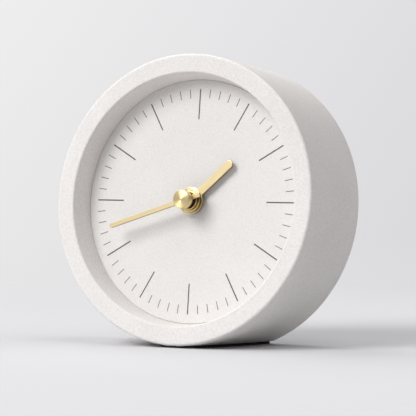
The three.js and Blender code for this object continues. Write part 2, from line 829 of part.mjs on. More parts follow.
function chipBlob() {
  const base = boardBack - seatGap;
  const shoulder = base - chipShoulder * chipHeight;
  const dome = [[0, base - chipHeight], [chipRadius / 2, shoulder], [chipRadius, base], [0, base]];
  return turned(dome, smallFacets).translate(boardLeft + chipInset, boardBottom + chipRise, 0);
}

function batteryCell() {
  const neck = cellHalf - cellNubLength;
  const profile = [
    [0, -cellHalf], [cellRadius, -cellHalf], [cellRadius, neck], [cellNubRadius, neck],
    [cellNubRadius, cellHalf], [0, cellHalf],
  ];
  return turned(profile, hubFacets).rotateY(Math.PI / 2).translate(0, bayMiddle, cellLevel);
}

// A contact strip stands at the bay's end, touches the cell with a dimple and leads to the board.

function batteryContact(side) {
  const outer = side * (insideHalfWidth - seatGap);
  const inner = outer - side * contactThickness;
  const bottom = -insideHalfHeight + insideCorner + contactMargin;
  const top = bayTop - insideCorner - contactMargin;
  const leadBack = leadFront - leadWidth;
  const leadTop = wheelRoomBottom + seatGap + contactThickness;
  const dimple = rod(contactDimpleRadius, cellHalf + seatGap, insideHalfWidth - seatGap);
  return join(
    block(inner, outer, bottom, top, rearInside, leadFront),
    block(inner, outer, top - seatGap, leadTop, leadBack, leadFront),
    dimple.rotateY((side * Math.PI) / 2).translate(0, bayMiddle, cellLevel),
    block(leadEnd(side), outer, leadTop - contactThickness, leadTop, leadBack, leadFront),
  );
}

function leadEnd(side) {
  return side > 0 ? boardRight - leadOverlap : boardLeft + leadOverlap;
}

// Rear cover with its door over the battery

function doorOutline(margin, back, front) {
  const halfWidth = cellHalf + windowMargin + margin;
  const halfHeight = cellRadius + windowMargin + margin;
  const [bottom, top] = [bayMiddle - halfHeight, bayMiddle + halfHeight];
  return roundedBox(-halfWidth, halfWidth, bottom, top, doorCorner, back, front);
}

function rearCover() {
  const disc = rod(coverSeatRadius - coverGap, coverOuter, coverInner, largeFacets);
  const seatEnd = coverOuter + doorSeatDepth;
  const window = doorOutline(0, coverOuter - overcut, coverInner + overcut);
  const seat = doorOutline(doorLedge, coverOuter - overcut, seatEnd);
  const finger = rod(fingerRadius, coverOuter - overcut, seatEnd, hubFacets);
  const fingerPlace = bayMiddle + cellRadius + windowMargin + doorLedge;
  const setHole = rod(setKnobRadius + coverGap, coverOuter - overcut, coverInner + overcut, hubFacets);
  const screwHoles = screwAngles.flatMap((angle) => {
    const place = around(angle, screwCircle);
    const headEnd = coverOuter + screwHeadHeight + seatGap;
    const headRoom = rod(screwHeadRadius + runningGap, coverOuter - overcut, headEnd);
    return [headRoom, rod(insertBore, coverOuter, coverInner + overcut)].map((hole) => at(place, hole));
  });
  const notch = finger.translate(0, fingerPlace, 0);
  return cut(disc, window, seat, notch, at(setCentre, setHole), ...screwHoles);
}

function batteryDoor() {
  const seatEnd = coverOuter + doorSeatDepth - seatGap;
  const face = doorOutline(doorLedge - coverGap, coverOuter, seatEnd);
  const skirt = doorOutline(-coverGap, seatEnd - seatGap, coverInner);
  return join(face, skirt);
}

function coverScrew() {
  const headFront = coverOuter + screwHeadHeight;
  const head = rod(screwHeadRadius, coverOuter, headFront);
  const shank = rod(screwRadius, headFront - seatGap, coverInner + screwReach);
  const half = screwSlotWidth / 2;
  const reach = screwHeadRadius + overcut;
  const slot = block(-reach, reach, -half, half, coverOuter - overcut, coverOuter + screwSlotDepth);
  return cut(join(head, shank), slot);
}

function threadedInsert() {
  const back = coverInner + 2 * seatGap;
  return tube(insertBore, insertRadius, back, back + insertLength, smallFacets);
}

// Assembly

const clock = new THREE.Group();

function place(name, geometry, finish, spot = axis, turn = 0) {
  const mesh = new THREE.Mesh(geometry, finish);
  mesh.name = name;
  mesh.position.set(spot.x, spot.y, 0);
  mesh.rotation.z = turn;
  clock.add(mesh);
}

const minuteTurn = -THREE.MathUtils.degToRad(degreesPerMinute * shownMinute);
const hourShown = degreesPerHour * (shownHour + shownMinute / minutesPerHour);
const hourTurn = -THREE.MathUtils.degToRad(hourShown - hourHandLag);

place("case_shell", caseShell(), concrete());
place("base_pad", basePad(), darkRubber());
place("dial", dialDisc(), dialFinish());
place("dial_tape", dialTape(), foamTape());
place("nut_washer", hubRing(nutRadius + nutWasherRim, seatGap, nutWasherThickness), steel());
place("fixing_nut", hubRing(nutRadius, nutWasherThickness + 2 * seatGap, nutHeight), steel());
place("threaded_bush", threadedBush(), brass());
place("rubber_washer", hubRing(rubberRadius, movementFront + seatGap, rubberThickness), darkRubber());

place("hour_hand", hourHand(), brass(), axis, hourTurn);
place("hour_collar", hourCollar(), brass());
place("hour_wheel", hourWheel(), blackPlastic());
place("minute_hand", minuteHand(), brass(), axis, minuteTurn);
place("centre_knob", centreKnob(), brass());
place("minute_arbor", minuteArbor(), brass());
place("motion_wheel", motionWheel(), whitePlastic(), motionCentre);
place("time_set_knob", timeSetKnob(), blackPlastic(), setCentre);

place("centre_wheel", centreWheel(), whitePlastic());
place("third_wheel", thirdWheel(), whitePlastic(), thirdCentre);
place("fourth_wheel", fourthWheel(), whitePlastic());
place("fifth_wheel", fifthWheel(), whitePlastic(), fifthCentre);
place("rotor_pinion", rotorPinion(), whitePlastic(), rotorCentre);
place("rotor_magnet", rotorMagnet(), magnetFinish(), rotorCentre);
place("stator", stator(), steel());
place("coil_core", coilCore(), steel());
place("coil_bobbin", coilBobbin(), redPlastic());
place("coil_winding", coilWinding(), copper());

place("movement_front_case", frontCase(), blackPlastic());
place("movement_rear_case", rearCase(), blackPlastic());
place("train_bridge", trainBridge(), whitePlastic());
place("circuit_board", circuitBoard(), boardFinish());
place("quartz_crystal", quartzCrystal(), steel());
place("chip_blob", chipBlob(), epoxy());
place("battery_cell", batteryCell(), cellJacket());
place("contact_positive", batteryContact(1), steel());
place("contact_negative", batteryContact(-1), steel());

place("rear_cover", rearCover(), blackPlastic());
place("battery_door", batteryDoor(), blackPlastic());
screwAngles.forEach((angle, index) => {
  place(`cover_screw_${index + 1}`, coverScrew(), steel(), around(angle, screwCircle));
  place(`threaded_insert_${index + 1}`, threadedInsert(), brass(), around(angle, screwCircle));
});

// Stance: the drum's front and rear extremes are centred on y = 0, and the pad's underside is z = 0
const alongY = (y, z) => y * Math.sin(lean) - z * Math.cos(lean);
const frontmost = alongY(rimEdge - caseRadius, recessDepth - rimEdge) - rimEdge;
const rearmost = alongY(caseRadius - backEdge, caseBack + backEdge) + backEdge;
clock.rotation.x = Math.PI / 2 - lean;
clock.position.set(0, -(frontmost + rearmost) / 2, padThickness + seatGap - baseLevel);

const concreteClock = new THREE.Group();
concreteClock.add(clock);

export default concreteClock;
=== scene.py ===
# %% [markdown]
# # A concrete desk clock
# The clock is a drum of pale cast concrete that leans back on a flat, with a recessed dial, thin printed
# marks, two brass hands and a battery movement behind a plastic cover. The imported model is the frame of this
# lesson. Its solids could be shown as they are, but they are faceted and plain. So each piece that can be
# seen is modelled again with fine edges, and every piece gets a finish made of nodes.

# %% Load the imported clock
import json
import math

import bpy
from mathutils import Matrix, Vector


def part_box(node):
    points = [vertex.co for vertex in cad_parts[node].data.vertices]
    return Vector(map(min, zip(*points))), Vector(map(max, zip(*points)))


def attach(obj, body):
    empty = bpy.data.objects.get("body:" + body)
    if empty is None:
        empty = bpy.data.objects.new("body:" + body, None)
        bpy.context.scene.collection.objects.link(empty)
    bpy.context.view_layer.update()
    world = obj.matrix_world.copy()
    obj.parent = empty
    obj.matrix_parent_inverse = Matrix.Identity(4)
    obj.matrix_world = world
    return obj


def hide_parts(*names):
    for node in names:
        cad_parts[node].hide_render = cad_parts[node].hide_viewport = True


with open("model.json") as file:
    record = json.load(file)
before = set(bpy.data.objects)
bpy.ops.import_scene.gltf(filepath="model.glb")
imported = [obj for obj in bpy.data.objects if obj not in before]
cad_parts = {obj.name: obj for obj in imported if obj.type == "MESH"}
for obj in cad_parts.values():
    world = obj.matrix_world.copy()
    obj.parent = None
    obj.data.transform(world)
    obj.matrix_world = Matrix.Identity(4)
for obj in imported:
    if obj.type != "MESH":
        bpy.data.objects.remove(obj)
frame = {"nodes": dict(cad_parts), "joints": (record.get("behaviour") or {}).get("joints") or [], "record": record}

bpy.ops.object.select_all(action="DESELECT")
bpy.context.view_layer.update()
scene = bpy.context.scene
scene.view_settings.view_transform = "Standard"

# %% [markdown]
# ## Camera
# The picture was taken with a long lens, a little to the right of the dial and hardly above the table. A
# camera could be set by eye, but the rim, the dial and the back edge are circles, and their ellipses in the
# picture give its bearing, height and distance. A long lens keeps the ellipses alike from front to back.

# %% Place the camera
MM = 0.001
CAMERA_AIM = Vector((4.20, -6.71, 47.52)) * MM
CAMERA_BEARING = math.radians(30.03)
CAMERA_HEIGHT = math.radians(1.65)
CAMERA_DISTANCE = 967.7 * MM
LENS = 242.6

backwards = Vector((
    math.sin(CAMERA_BEARING) * math.cos(CAMERA_HEIGHT),
    -math.cos(CAMERA_BEARING) * math.cos(CAMERA_HEIGHT),
    math.sin(CAMERA_HEIGHT),
))
bpy.ops.object.camera_add(
    location=CAMERA_AIM + backwards * CAMERA_DISTANCE,
    rotation=backwards.to_track_quat("Z", "Y").to_euler(),
)
camera = bpy.context.object
camera.data.lens = LENS
scene.camera = camera
print("camera at", [round(value, 3) for value in camera.location])

# %% [markdown]
# ## The clock's own directions
# The drum leans back, and a round piece is hard to draw round a leaning axis. The pieces could be tilted one
# by one. Instead each is drawn round an upright axis, with the dial's face at level 0, and is then stood in
# the model with the matrix that the minute hand's hinge gives.

# %% The clock's frame, and how a solid lies in it
minute_turn = next(joint for joint in frame["joints"] if joint["name"] == "minute_turn")
forward = -Vector(minute_turn["axis"])
right = Vector((1, 0, 0))
axes = Matrix((right, forward.cross(right), forward)).transposed()
CLOCK = Matrix.Translation(minute_turn["pos_m"]) @ axes.to_4x4()


def measure(node):
    """Lowest level, highest level and largest radius of a solid in the clock's frame, in millimetres."""
    inside = CLOCK.inverted()
    points = [inside @ vertex.co / MM for vertex in frame["nodes"][node].data.vertices]
    heights = [point.z for point in points]
    return min(heights), max(heights), max(math.hypot(point.x, point.y) for point in points)


print("the drum, back to front and radius:", [round(value, 2) for value in measure("case_shell")])

# %% [markdown]
# ## Nodes without clutter
# Every finish below is a small tree of nodes. Written out in full, each node takes five lines. One helper adds
# a node, sets its properties and feeds its inputs, so that a tree reads from its first texture to its shader.

# %% Helpers for single nodes
MIX_FACTOR, MIX_FIRST, MIX_SECOND, MIX_COLOUR = 0, 6, 7, 2


def add_node(tree, kind, inputs=None, **settings):
    """Adds a node. An input is fed a plain value, or the socket that it is linked from."""
    made = tree.nodes.new(kind)
    for key, value in settings.items():
        setattr(made, key, value)
    for key, value in (inputs or {}).items():
        if isinstance(value, bpy.types.NodeSocket):
            tree.links.new(value, made.inputs[key])
        else:
            made.inputs[key].default_value = value
    return made


def math_node(tree, operation, first, second):
    """The result of one sum on values or sockets."""
    return add_node(tree, "ShaderNodeMath", {0: first, 1: second}, operation=operation).outputs[0]


def ramp(tree, value, low, high, out_low, out_high):
    """A value brought from one range to another and held there at both ends."""
    ends = {"Value": value, "From Min": low, "From Max": high, "To Min": out_low, "To Max": out_high}
    return add_node(tree, "ShaderNodeMapRange", ends).outputs[0]


def blend_colours(tree, factor, first, second):
    """Two colours mixed by a factor."""
    ends = {MIX_FACTOR: factor, MIX_FIRST: first, MIX_SECOND: second}
    return add_node(tree, "ShaderNodeMix", ends, data_type="RGBA").outputs[MIX_COLOUR]


print("node helpers ready")


# %% Helpers for groups and finishes
def new_group(name, inputs, outputs):
    """A node group with named sockets, and its two end nodes."""
    tree = bpy.data.node_groups.new(name, "ShaderNodeTree")
    for label, kind in inputs:
        tree.interface.new_socket(label, in_out="INPUT", socket_type=f"NodeSocket{kind}")
    for label, kind in outputs:
        tree.interface.new_socket(label, in_out="OUTPUT", socket_type=f"NodeSocket{kind}")
    return tree, tree.nodes.new("NodeGroupInput"), tree.nodes.new("NodeGroupOutput")


def new_finish(name):
    """A material with its shader, and the coordinates of the object."""
    material = bpy.data.materials.new(name)
    material.use_nodes = True
    tree = material.node_tree
    shader = tree.nodes["Principled BSDF"]
    place = tree.nodes.new("ShaderNodeTexCoord").outputs["Object"]
    return material, tree, shader, place


def feed_shader(tree, shader, colour, group, strength, depth):
    """Sends a colour to the shader, with a group's roughness and its relief of a depth in millimetres."""
    tree.links.new(colour, shader.inputs["Base Color"])
    tree.links.new(group.outputs["Roughness"], shader.inputs["Roughness"])
    relief = add_node(
        tree, "ShaderNodeBump",
        {"Height": group.outputs["Height"], "Strength": strength, "Distance": depth * MM},
    )
    tree.links.new(relief.outputs["Normal"], shader.inputs["Normal"])


print("finish helpers ready")

# %% [markdown]
# ## Cast mineral
# Fine concrete is pale cement with sand in it: a broad, faint mottle from the mould, grains of half a
# millimetre, and pinholes where air sat against the mould. The pinholes are shallow dips in the relief, and
# their darker colour is painted shade inside the pits. A picture of concrete would slide and stretch on a
# round drum. Noise and cells in the object's own space run through the solid, as sand does, so they fit every
# face. The drum and the dial share one group with their own sizes and strengths.

# %% The mineral group
NOISE_LOW, NOISE_HIGH = 0.3, 0.7
MOTTLE_SCALE, MOTTLE_DETAIL = 38, 2
GRAIN_DETAIL, GRAIN_ROUGHNESS, GRAIN_SHARE = 3, 0.65, 0.75
TONE_START, TONE_END = 0.35, 0.65
MATT_LEAST, MATT_MOST = 0.8, 0.95

mineral, entry, leave = new_group(
    "cast_mineral",
    [("Vector", "Vector"), ("Pale", "Color"), ("Deep", "Color"), ("Pinhole", "Color"),
     ("Grain Scale", "Float"), ("Pinhole Scale", "Float"), ("Pinhole Size", "Float"),
     ("Pinhole Share", "Float")],
    [("Color", "Color"), ("Roughness", "Float"), ("Height", "Float")],
)
place = entry.outputs["Vector"]
mottle = add_node(
    mineral, "ShaderNodeTexNoise", {"Vector": place, "Scale": MOTTLE_SCALE, "Detail": MOTTLE_DETAIL}).outputs[0]
grain = add_node(
    mineral, "ShaderNodeTexNoise",
    {"Vector": place, "Scale": entry.outputs["Grain Scale"], "Detail": GRAIN_DETAIL,
     "Roughness": GRAIN_ROUGHNESS},
).outputs[0]
both = math_node(
    mineral, "ADD",
    math_node(mineral, "MULTIPLY", mottle, 1 - GRAIN_SHARE),
    math_node(mineral, "MULTIPLY", grain, GRAIN_SHARE),
)
tone = ramp(mineral, both, TONE_START, TONE_END, 0, 1)
cells = add_node(
    mineral, "ShaderNodeTexVoronoi", {"Vector": place, "Scale": entry.outputs["Pinhole Scale"]})
near = math_node(mineral, "LESS_THAN", cells.outputs["Distance"], entry.outputs["Pinhole Size"])
chance = add_node(mineral, "ShaderNodeSeparateColor", {"Color": cells.outputs["Color"]})
chosen = math_node(mineral, "LESS_THAN", chance.outputs["Red"], entry.outputs["Pinhole Share"])
# the pinhole mask: the pits sink the relief, and their darker colour is painted shade inside them
shaded_pinhole = math_node(mineral, "MULTIPLY", near, chosen)
surface = blend_colours(mineral, tone, entry.outputs["Deep"], entry.outputs["Pale"])
colour = blend_colours(mineral, shaded_pinhole, surface, entry.outputs["Pinhole"])
matt = ramp(mineral, grain, NOISE_LOW, NOISE_HIGH, MATT_MOST, MATT_LEAST)
mineral.links.new(colour, leave.inputs["Color"])
mineral.links.new(matt, leave.inputs["Roughness"])
mineral.links.new(math_node(mineral, "SUBTRACT", grain, shaded_pinhole), leave.inputs["Height"])
print("mineral group with", len(mineral.nodes), "nodes")

# %% The drum's and the dial's finishes
MINERAL_SPECULAR, MINERAL_BUMP = 0.25, 0.5


def mineral_finish(name, pale, deep, shaded_pinhole, grain_scale, pinhole_scale, pinhole_size, pinhole_share, relief):
    """A mineral surface from three tones, the grain and pinhole sizes, and the relief's depth."""
    material, tree, shader, place = new_finish(name)
    group = add_node(
        tree, "ShaderNodeGroup",
        {"Vector": place, "Pale": (*pale, 1), "Deep": (*deep, 1), "Pinhole": (*shaded_pinhole, 1),
         "Grain Scale": grain_scale, "Pinhole Scale": pinhole_scale, "Pinhole Size": pinhole_size,
         "Pinhole Share": pinhole_share},
        node_tree=mineral,
    )
    shader.inputs["Specular IOR Level"].default_value = MINERAL_SPECULAR
    feed_shader(tree, shader, group.outputs["Color"], group, MINERAL_BUMP, relief)
    return material


# the third tone of each mineral is the painted shade inside its pinholes
concrete = mineral_finish(
    "cast_concrete", pale=(0.812, 0.786, 0.77), deep=(0.688, 0.662, 0.648), shaded_pinhole=(0.55, 0.526, 0.51),
    grain_scale=1500, pinhole_scale=800, pinhole_size=0.12, pinhole_share=0.1, relief=0.04)
dial_face = mineral_finish(
    "dial_mineral", pale=(0.80, 0.776, 0.755), deep=(0.70, 0.676, 0.656), shaded_pinhole=(0.6, 0.58, 0.56),
    grain_scale=2000, pinhole_scale=900, pinhole_size=0.1, pinhole_share=0.08, relief=0.03)
print(concrete.name, dial_face.name)

# %% [markdown]
# ## Brass and nickel
# The hands are brushed along their length, and the knob is turned, so its fine scratches run in rings and
# spread the light into wedges. The collar is polished. The scratches could be cut as geometry, but they are
# far finer than a pixel. A shared group gives streaks for the tone, the roughness and a shallow relief, and
# the shader's own anisotropy spreads the highlight on turned pieces. The hands' edges and the collar's sides
# get a painted shade, darker than the faces that look to the front and chosen by the face's direction; it
# stands in for the shadowed dial that these sides mirror.

# %% The brushing group
STREAK_SCALE, STREAK_DETAIL = 1, 4
SMUDGE_SCALE, SMUDGE_DETAIL = 0.11, 1
STREAK_START, STREAK_END = 0.15, 0.35

brushing, entry, leave = new_group(
    "metal_brushing", [("Vector", "Vector"), ("Smooth", "Float"), ("Rough", "Float")],
    [("Streak", "Float"), ("Roughness", "Float"), ("Height", "Float")],
)
streaks, smudge = (
    add_node(brushing, "ShaderNodeTexNoise",
             {"Vector": entry.outputs["Vector"], "Scale": scale, "Detail": detail}).outputs[0]
    for scale, detail in ((STREAK_SCALE, STREAK_DETAIL), (SMUDGE_SCALE, SMUDGE_DETAIL)))
mixed = math_node(brushing, "MULTIPLY", streaks, smudge)
gloss = ramp(brushing, streaks, NOISE_LOW, NOISE_HIGH, entry.outputs["Smooth"], entry.outputs["Rough"])
brushing.links.new(ramp(brushing, mixed, STREAK_START, STREAK_END, 0, 1), leave.inputs["Streak"])
brushing.links.new(gloss, leave.inputs["Roughness"])
brushing.links.new(streaks, leave.inputs["Height"])
print("brushing group with", len(brushing.nodes), "nodes")

# %% The directions of the scratches
RING_PITCH = 0.09
STREAK_LENGTH = 6


def in_clock(tree, place, turn):
    """The object's coordinates in the clock's frame in millimetres, turned so that y runs along a hand."""
    to_axis = add_node(
        tree, "ShaderNodeMapping",
        {"Vector": place, "Location": CLOCK.translation, "Rotation": CLOCK.to_euler()}, vector_type="TEXTURE",
    )
    return add_node(
        tree, "ShaderNodeMapping",
        {"Vector": to_axis.outputs[0], "Rotation": (0, 0, turn), "Scale": (1 / MM,) * 3}, vector_type="POINT",
    ).outputs[0]


def along_rings(tree, local):
    """Coordinates that change with the radius and the level only."""
    split = add_node(tree, "ShaderNodeSeparateXYZ", {"Vector": local})
    squares = [math_node(tree, "MULTIPLY", split.outputs[axis], split.outputs[axis]) for axis in (0, 1)]
    radius = math_node(tree, "SQRT", math_node(tree, "ADD", *squares), 0)
    rings = math_node(tree, "DIVIDE", radius, RING_PITCH)
    levels = math_node(tree, "DIVIDE", split.outputs[2], RING_PITCH)
    return add_node(tree, "ShaderNodeCombineXYZ", {"X": rings, "Y": levels}).outputs[0]


def along_hand(tree, local):
    """Coordinates that change fast across a hand and slowly along it."""
    stretch = (1 / RING_PITCH, 1 / STREAK_LENGTH, 1 / RING_PITCH)
    return add_node(tree, "ShaderNodeVectorMath", {0: local, 1: stretch}, operation="MULTIPLY").outputs[0]


print("scratches", RING_PITCH, "mm wide and", STREAK_LENGTH, "mm long")

# %% The metal finish
WEDGES, WEDGE_TURN = 0.8, 0.25
METAL_BUMP, METAL_RELIEF = 0.1, 0.001
# facing range over which the painted shade on the sides gives way to the full tone
SIDE_SHADE_START, SIDE_SHADE_END = 0.3, 0.75


def metal_finish(name, tones, gloss, turn=None, wedges=WEDGES, side_shade=None):
    """Brushed along a hand that stands at a turn from twelve, or turned in rings where no turn is given.

    Faces that don't look along the clock's axis take a painted shade colour, where one is given, in place of the
    shadowed dial that they mirror.
    """
    material, tree, shader, place = new_finish(name)
    local = in_clock(tree, place, turn or 0)
    if turn is None:
        vector = along_rings(tree, local)
        tangent = add_node(tree, "ShaderNodeTangent", direction_type="RADIAL", axis="Y")
        tree.links.new(tangent.outputs[0], shader.inputs["Tangent"])
        shader.inputs["Anisotropic"].default_value = wedges
        shader.inputs["Anisotropic Rotation"].default_value = WEDGE_TURN
    else:
        vector = along_hand(tree, local)
    smooth, rough = gloss
    group = add_node(
        tree, "ShaderNodeGroup", {"Vector": vector, "Smooth": smooth, "Rough": rough}, node_tree=brushing)
    bright, deep = ((*tone, 1) for tone in tones)
    colour = blend_colours(tree, group.outputs["Streak"], deep, bright)
    # painted shade: faces turned away from the clock's axis take a dark colour, standing in for the shadowed dial
    # they mirror
    if side_shade:
        facing = add_node(
            tree, "ShaderNodeVectorMath", {0: place.node.outputs["Normal"], 1: CLOCK.col[2].xyz},
            operation="DOT_PRODUCT",
        ).outputs["Value"]
        front = ramp(tree, facing, SIDE_SHADE_START, SIDE_SHADE_END, 0, 1)
        colour = blend_colours(tree, front, (*side_shade, 1), colour)
    shader.inputs["Metallic"].default_value = 1
    feed_shader(tree, shader, colour, group, METAL_BUMP, METAL_RELIEF)
    return material


print("faces within", round(math.degrees(math.acos(SIDE_SHADE_END))), "degrees of the front keep the full tone")

# %% The metals
BRASS = ((0.77, 0.62, 0.33), (0.75, 0.595, 0.31))
HAND_BRASS = ((0.80, 0.66, 0.38), (0.785, 0.64, 0.365))
# the painted shade on brass sides and edges that look away from the front
SIDE_SHADE_BRASS = (0.26, 0.165, 0.06)
NICKEL = ((0.62, 0.61, 0.60), (0.48, 0.47, 0.46))
TURNED_GLOSS, POLISHED_GLOSS, HAND_GLOSS = (0.34, 0.4), (0.16, 0.2), (0.305, 0.315)
NICKEL_GLOSS, STEEL_GLOSS = (0.28, 0.42), (0.3, 0.45)
HOUR_TURN = math.radians(48.5)
MINUTE_TURN = math.radians(252)

turned_brass = metal_finish("turned_brass", BRASS, TURNED_GLOSS)
polished_brass = metal_finish("polished_brass", BRASS, POLISHED_GLOSS, wedges=0, side_shade=SIDE_SHADE_BRASS)
hour_brass = metal_finish("hour_hand_brass", HAND_BRASS, HAND_GLOSS, HOUR_TURN, side_shade=SIDE_SHADE_BRASS)
minute_brass = metal_finish("minute_hand_brass", HAND_BRASS, HAND_GLOSS, MINUTE_TURN, side_shade=SIDE_SHADE_BRASS)
turned_nickel = metal_finish("turned_nickel", NICKEL, NICKEL_GLOSS)
rolled_steel = metal_finish("rolled_steel", NICKEL, STEEL_GLOSS, 0)
print("metals:", turned_brass.name, polished_brass.name, hour_brass.name, minute_brass.name,
      turned_nickel.name, rolled_steel.name)

# %% [markdown]
# ## Plastics, rubber and the inner parts
# Moulded plastic takes the fine spark texture of its tool, with a faint cloud of gloss over it. Each could have
# a tree of its own, but one group gives that grain to all the plastics, the rubber, the tape and the board,
# each in its own colour and roughness. The inner parts show only when the battery door is out, but each still
# has its own finish.

# %% The moulded group
SPARK_DETAIL = 2
CLOUD_SCALE, CLOUD_DETAIL = 60, 1
MOULDED_BUMP = 0.3

moulding, entry, leave = new_group(
    "moulded_grain",
    [("Vector", "Vector"), ("Light", "Color"), ("Dark", "Color"), ("Scale", "Float"), ("Smooth", "Float"),
     ("Rough", "Float")],
    [("Color", "Color"), ("Roughness", "Float"), ("Height", "Float")],
)
spark, cloud = (
    add_node(moulding, "ShaderNodeTexNoise",
             {"Vector": entry.outputs["Vector"], "Scale": scale, "Detail": detail}).outputs[0]
    for scale, detail in ((entry.outputs["Scale"], SPARK_DETAIL), (CLOUD_SCALE, CLOUD_DETAIL)))
gloss = ramp(moulding, cloud, NOISE_LOW, NOISE_HIGH, entry.outputs["Smooth"], entry.outputs["Rough"])
grain_tone = blend_colours(
    moulding, ramp(moulding, spark, NOISE_LOW, NOISE_HIGH, 0, 1),
    entry.outputs["Dark"], entry.outputs["Light"])
moulding.links.new(grain_tone, leave.inputs["Color"])
moulding.links.new(gloss, leave.inputs["Roughness"])
moulding.links.new(spark, leave.inputs["Height"])


def moulded_finish(name, light, dark, scale, smooth, rough, relief):
    """A moulded or pressed surface with its grain."""
    material, tree, shader, place = new_finish(name)
    group = add_node(
        tree, "ShaderNodeGroup",
        {"Vector": place, "Light": (*light, 1), "Dark": (*dark, 1), "Scale": scale, "Smooth": smooth,
         "Rough": rough},
        node_tree=moulding,
    )
    feed_shader(tree, shader, group.outputs["Color"], group, MOULDED_BUMP, relief)
    return material


print("moulded group with", len(moulding.nodes), "nodes")

# %% The finishes of the record's slots
# each moulded row: name, light tone, dark tone, grain scale, least and most roughness, relief in millimetres
MOULDED = {
    "black_plastic": ("black_plastic", (0.035,) * 3, (0.02,) * 3, 2600, 0.45, 0.6, 0.03),
    "black_rubber": ("black_rubber", (0.03,) * 3, (0.012,) * 3, 1500, 0.75, 0.9, 0.05),
    "white_plastic": ("white_plastic", (0.78, 0.78, 0.75), (0.7, 0.7, 0.67), 2200, 0.35, 0.5, 0.01),
    "red_plastic": ("red_plastic", (0.52, 0.1, 0.08), (0.42, 0.07, 0.06), 2200, 0.35, 0.5, 0.01),
    "adhesive_tape": ("adhesive_tape", (0.72, 0.7, 0.62), (0.6, 0.58, 0.5), 900, 0.6, 0.8, 0.04),
    "board": ("circuit_board", (0.05, 0.24, 0.1), (0.03, 0.17, 0.07), 1200, 0.3, 0.45, 0.01),
    "epoxy": ("epoxy_cap", (0.015,) * 3, (0.008,) * 3, 700, 0.15, 0.3, 0.01),
    "magnet": ("sintered_magnet", (0.09, 0.09, 0.095), (0.05, 0.05, 0.055), 1800, 0.4, 0.6, 0.02),
    "copper": ("copper_wire", (0.6, 0.27, 0.12), (0.42, 0.17, 0.07), 1500, 0.3, 0.45, 0.04),
    "cell_jacket": ("cell_jacket", (0.16, 0.17, 0.19), (0.13, 0.14, 0.16), 1200, 0.25, 0.35, 0.005),
}
finishes = {slot: moulded_finish(*row) for slot, row in MOULDED.items()}
finishes |= {
    "concrete": concrete,
    "dial_concrete": dial_face,
    "brushed_brass": turned_brass,
    "nickel_steel": rolled_steel,
}
black_plastic = finishes["black_plastic"]
print(len(finishes), "finishes for the record's slots")

# %% [markdown]
# ## Finishes on the solids
# Every solid has a slot in the record. Each could be modelled again, but most of the inner solids stay as they
# are, because nobody sees a rounder edge on them. They take the finish of their slot. Solids that are modelled
# again below keep it too, though they are hidden then.

# %% Dress the solids by slot
for part in frame["record"]["subparts"]:
    solid = frame["nodes"][part["node"]].data
    solid.materials.clear()
    solid.materials.append(finishes[part["material_slot"]])

# %% [markdown]
# ## Drawing, turning and extruding
# A turner draws half a section and spins the work, and a stamper cuts a flat outline. Both start here from one
# point, which is extruded along the drawing as with a pencil. A spun section is closed by merging its seam,
# and its faces are then turned outwards. A stamped outline is filled and extruded, and gets its soft edge from
# a bevel.

# %% Helpers for drawing
WELD_WITHIN = 0.002


def begin(name):
    """A new piece in edit mode that holds a single point."""
    bpy.ops.object.select_all(action="DESELECT")
    bpy.ops.mesh.primitive_plane_add(size=MM)
    piece = bpy.context.object
    piece.name = piece.data.name = name
    bpy.ops.object.mode_set(mode="EDIT")
    bpy.ops.mesh.merge(type="CENTER")
    return piece


def draw(points):
    """Extrudes the point along a drawing in millimetres."""
    places = [Vector(point) * MM for point in points]
    bpy.ops.transform.translate(value=places[0])
    for here, there in zip(places, places[1:]):
        bpy.ops.mesh.extrude_region_move(TRANSFORM_OT_translate={"value": there - here})


def arc(x, y, radius, start, end, steps):
    """Points of an arc in degrees, both ends included."""
    angles = [math.radians(start + (end - start) * step / steps) for step in range(steps + 1)]
    return [(x + radius * math.cos(angle), y + radius * math.sin(angle)) for angle in angles]


def circle(x, y, radius, steps):
    """Points all round a circle."""
    return arc(x, y, radius, 0, 360 - 360 / steps, steps - 1)


def close_surface(within=WELD_WITHIN):
    """Merges seams and poles and turns every face outwards."""
    bpy.ops.mesh.select_all(action="SELECT")
    bpy.ops.mesh.remove_doubles(threshold=within * MM)
    bpy.ops.mesh.normals_make_consistent(inside=False)


print("seams merge within", WELD_WITHIN, "mm")


# %% Helpers for turned and stamped pieces
def turn_piece(name, section, steps):
    """A section of (radius, level) spun round the clock's axis."""
    piece = begin(name)
    draw([(radius, 0, level) for radius, level in section])
    bpy.ops.mesh.select_all(action="SELECT")
    bpy.ops.mesh.spin(steps=steps, angle=2 * math.pi, center=(0, 0, 0), axis=(0, 0, 1))
    close_surface()
    bpy.ops.object.mode_set(mode="OBJECT")
    return piece


def stamp_piece(name, outline, back, front):
    """A closed outline of (x, y) filled at one level and extruded to another."""
    piece = begin(name)
    draw([(x, y, back) for x, y in outline])
    bpy.ops.mesh.select_all(action="SELECT")
    bpy.ops.mesh.edge_face_add()
    bpy.ops.mesh.extrude_region_move(TRANSFORM_OT_translate={"value": (0, 0, (front - back) * MM)})
    close_surface()
    bpy.ops.object.mode_set(mode="OBJECT")
    return piece


print("turning and stamping helpers ready")

# %% Helpers for finishing a piece
SOFT_ANGLE, SOFT_SEGMENTS = 40, 3
SMOOTH_ANGLE = 35


def apply(piece, kind, **settings):
    """Adds a modifier with its settings and applies it."""
    modifier = piece.modifiers.new(kind.lower(), kind)
    for key, value in settings.items():
        setattr(modifier, key, value)
    bpy.context.view_layer.objects.active = piece
    bpy.ops.object.modifier_apply(modifier=modifier.name)


def even_shading(piece):
    """Lets large flats rule the shading of the small rounds beside them."""
    apply(piece, "WEIGHTED_NORMAL", keep_sharp=True)


